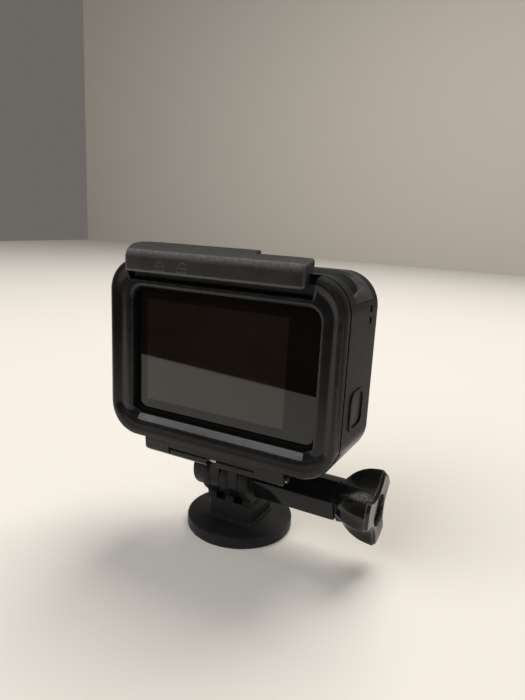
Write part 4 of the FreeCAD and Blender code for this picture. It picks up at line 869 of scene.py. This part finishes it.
def tube(shell, path, radius, outward, steps=8):
    """A thin raised line along a path of points, on a face that looks outward."""
    rings = []
    for index, point in enumerate(path):
        before = path[max(index - 1, 0)]
        after = path[min(index + 1, len(path) - 1)]
        along = (Vector(after) - Vector(before)).normalized()
        side = along.cross(outward).normalized()
        ring = []
        for step in range(steps):
            angle = 2 * math.pi * step / steps
            offset = side * radius * math.cos(angle) + outward * radius * LINE_HEIGHT * math.sin(angle)
            ring.append(tuple(Vector(point) + offset))
        rings.append(ring)
    shell.loft(rings)


def arc(across, up, radius, start, end, steps=14):
    """(across, up) points along an arc, in degrees."""
    points = []
    for step in range(steps + 1):
        angle = math.radians(blend(start, end, step / steps))
        points.append((across + radius * math.cos(angle), up + radius * math.sin(angle)))
    return points


def box_line(left, right, low, high):
    """(across, up) points round a rectangle, back to the first."""
    return [(left, low), (right, low), (right, high), (left, high), (left, low)]


def sign_wear(bulge, x, y, z):
    """Raised lines polished a little by handling."""
    return 0.35


def make_lock_signs():
    """A closed and an open padlock, moulded in low relief on the latch's rear face."""
    shell = Shell()
    top = LOCK_LOW + LOCK_HEIGHT
    for middle, lift in LOCKS:
        body = box_line(middle - LOCK_HALF, middle + LOCK_HALF, LOCK_LOW, top)
        shackle = [(middle - SHACKLE_RADIUS, top)]
        shackle += arc(middle, top + 0.15 + lift, SHACKLE_RADIUS, 180, 0)
        if lift == 0.0:
            shackle.append((middle + SHACKLE_RADIUS, top))
        for line in (body, shackle):
            tube(shell, facing_rear(line, LATCH_REAR), LOCK_LINE, REARWARD)
    return shell.build("latch_signs", "latch_plastic", "latch", exposure=sign_wear)


def make_mode_button():
    """The side button: a crowned pad with a round sign in a frame, in low relief."""
    low, high = node_box("mode_button")
    face = high[0]

    def button_wear(bulge, x, y, z):
        """The rim of the pad is rubbed light, and so is its raised sign."""
        inset = min(y - low[1], high[1] - y, z - low[2], high[2] - z)
        rim = smoothstep(*BUTTON_RIM, inset) * smoothstep(face - 0.5, face - 0.3, x)
        return max(rim, smoothstep(face + 0.06, face + 0.08, x))

    shell = Shell()
    rings = []
    for place, inset in ((low[0], 0.3), (low[0] + 0.2, 0.0), (face - 0.35, 0.0), (face - 0.12, 0.12),
                         (face, 0.4), (face + 0.05, 0.9)):
        loop = rounded_loop(low[1] + inset, high[1] - inset, low[2] + inset, high[2] - inset,
                            BUTTON_CORNER, 8, (6, 6))
        rings.append(facing_side(loop, place))
    shell.loft(rings)
    along, up = ((low[1] + high[1]) / 2, (low[2] + high[2]) / 2)
    half_along, half_up = SIGN_HALVES
    for line in (arc(along, up, SIGN_RADIUS, 0, 360, 20),
                 box_line(along - half_along, along + half_along, up - half_up, up + half_up)):
        tube(shell, facing_side(line, face + 0.04), SIGN_LINE, RIGHTWARD)
    return shell.build("mode_button_pad", "button_plastic", "mode_button", replaces=("mode_button",),
                       exposure=button_wear)


# Stage -------------------------------------------------------------------------------------------

# The camera stands behind the object, above it and to its right, and looks a little down.
CAMERA_PLACE = (78.47, -141.44, 93.10)  # mm
CAMERA_YAW = 27.41  # degrees, from +Y towards -X
CAMERA_PITCH = 13.18  # degrees down
CAMERA_ROLL = -2.86
LENS = 29.27  # mm on a 36 mm sensor
FLOOR_SIZE = 2.4  # m
FLOOR_COLOUR = (0.80, 0.775, 0.735)
FLAG_EDGE = ((-1.2, -0.322), (1.2, -0.011))  # m, the near edge of the flags, in plan
FLAG_REAR = -1.2
FLAG_HEIGHT = 0.5
FLAG_LOW = 0.001  # just clear of the floor
FLAG_COLOUR = (0.030, 0.016, 0.009)
FLAG_BEYOND = (0.045, 0.9, 0.055, 1.1)  # m, left, right, near and far edges of a grey flag past the object
FLAG_GREY = (0.20, 0.19, 0.18)
WALL_PLACE = 1.15  # m behind the object, seen from the camera
WALL_HEIGHT = 1.5
WALL_COLOUR = (0.60, 0.57, 0.525)
WORLD_COLOUR = (0.62, 0.58, 0.53)
WORLD_STRENGTH = 0.24
LIGHT_TARGET = (0, 0, 0.05)
# Square lights: place and size in m, strength in W, and whether glossy surfaces mirror them.
LIGHTS = {
    "key": dict(place=(0.05, 0.45, 1.0), size=0.7, watts=4.0, colour=(1.0, 0.95, 0.88), mirrored=False),
    "sheen": dict(place=(0.05, 0.45, 1.0), size=0.7, watts=6.0, colour=(1.0, 0.95, 0.88), mirrored=True),
    "fill": dict(place=(-0.4, -0.75, 0.9), size=0.9, watts=9.5, colour=(0.98, 0.97, 0.96), mirrored=False),
}


def camera_axes(yaw, pitch, roll):
    """The camera's right, up and back directions for angles in degrees."""
    yaw, pitch, roll = math.radians(yaw), math.radians(pitch), math.radians(roll)
    forward = Vector((-math.sin(yaw) * math.cos(pitch), math.cos(yaw) * math.cos(pitch), -math.sin(pitch)))
    level = Vector((math.cos(yaw), math.sin(yaw), 0.0))
    down = forward.cross(level)
    right = math.cos(roll) * level + math.sin(roll) * down
    up = math.sin(roll) * level - math.cos(roll) * down
    return right, up, -forward


def place_camera():
    """The scene's one camera, at the place and angle the object is seen from."""
    data = bpy.data.cameras.new("camera")
    data.lens = LENS
    data.sensor_width = 36.0
    data.clip_start = 0.01
    data.clip_end = 20.0
    camera = bpy.data.objects.new("camera", data)
    right, up, back = camera_axes(CAMERA_YAW, CAMERA_PITCH, CAMERA_ROLL)
    turn = Matrix((right, up, back)).transposed().to_4x4()
    camera.matrix_world = Matrix.Translation(Vector(CAMERA_PLACE) * MM) @ turn
    bpy.context.collection.objects.link(camera)
    bpy.context.scene.camera = camera


def add_area_light(name, place, size, watts, colour, mirrored):
    """A soft square light that faces the object."""
    data = bpy.data.lights.new(name, "AREA")
    data.shape = "SQUARE"
    data.size = size
    data.energy = watts
    data.color = colour
    light = bpy.data.objects.new(name, data)
    light.location = place
    light.rotation_euler = (Vector(LIGHT_TARGET) - Vector(place)).to_track_quat("-Z", "Y").to_euler()
    light.visible_glossy = mirrored
    bpy.context.collection.objects.link(light)


def add_plane(name, corners, colour):
    """A flat stage piece through its corners, in metres."""
    mesh = bpy.data.meshes.new(name)
    mesh.from_pydata(corners, [], [tuple(range(len(corners)))])
    plane = bpy.data.objects.new(name, mesh)
    material = bpy.data.materials.new(name)
    material.use_nodes = True
    shader = material.node_tree.nodes["Principled BSDF"]
    shader.inputs["Base Color"].default_value = (*colour, 1.0)
    shader.inputs["Roughness"].default_value = 1.0
    shader.inputs["Specular IOR Level"].default_value = 0.0
    mesh.materials.append(material)
    bpy.context.collection.objects.link(plane)
    return plane


def hide_but_reflect(plane):
    """Leave a stage piece to be seen in reflections only."""
    plane.visible_camera = False
    plane.visible_diffuse = False
    plane.visible_shadow = False
    plane.visible_transmission = False


def make_stage():
    """A pale floor and a wall, and flags for the glossy parts to mirror.

    One dark flag lies where a table would end, one stands behind the camera, and a grey one lies
    beyond the object. The wall is a backdrop, and throws no light or shade."""
    half = FLOOR_SIZE / 2
    floor = [(-half, -half, 0), (half, -half, 0), (half, half, 0), (-half, half, 0)]
    add_plane("floor", floor, FLOOR_COLOUR)
    (left, left_edge), (right, right_edge) = FLAG_EDGE
    lying = [(left, left_edge, FLAG_LOW), (left, FLAG_REAR, FLAG_LOW), (right, FLAG_REAR, FLAG_LOW),
             (right, right_edge, FLAG_LOW)]
    standing = [(left, FLAG_REAR, FLAG_LOW), (left, FLAG_REAR, FLAG_HEIGHT),
                (right, FLAG_REAR, FLAG_HEIGHT), (right, FLAG_REAR, FLAG_LOW)]
    left, right, near, far = FLAG_BEYOND
    beyond = [(left, near, FLAG_LOW), (right, near, FLAG_LOW), (right, far, FLAG_LOW), (left, far, FLAG_LOW)]
    for name, corners, colour in (("flag_lying", lying, FLAG_COLOUR),
                                  ("flag_standing", standing, FLAG_COLOUR),
                                  ("flag_beyond", beyond, FLAG_GREY)):
        hide_but_reflect(add_plane(name, corners, colour))
    wall = add_plane("wall", [(-half, WALL_PLACE, 0), (half, WALL_PLACE, 0), (half, WALL_PLACE, WALL_HEIGHT),
                              (-half, WALL_PLACE, WALL_HEIGHT)], WALL_COLOUR)
    wall.visible_diffuse = False
    wall.visible_glossy = False
    wall.visible_shadow = False


def set_world():
    """An even, warm surround."""
    world = bpy.data.worlds.new("surround")
    world.use_nodes = True
    background = world.node_tree.nodes["Background"]
    background.inputs["Color"].default_value = (*WORLD_COLOUR, 1.0)
    background.inputs["Strength"].default_value = WORLD_STRENGTH
    bpy.context.scene.world = world


make_door()
make_lip_strip()
make_frame_corner()
make_latch()
make_lock_signs()
make_foot()
make_knob()
make_display_gap_shade()
make_display()
make_mode_button()
place_camera()
make_stage()
set_world()
for light_name, light_values in LIGHTS.items():
    add_area_light(light_name, **light_values)
bpy.context.scene.view_settings.view_transform = "Standard"
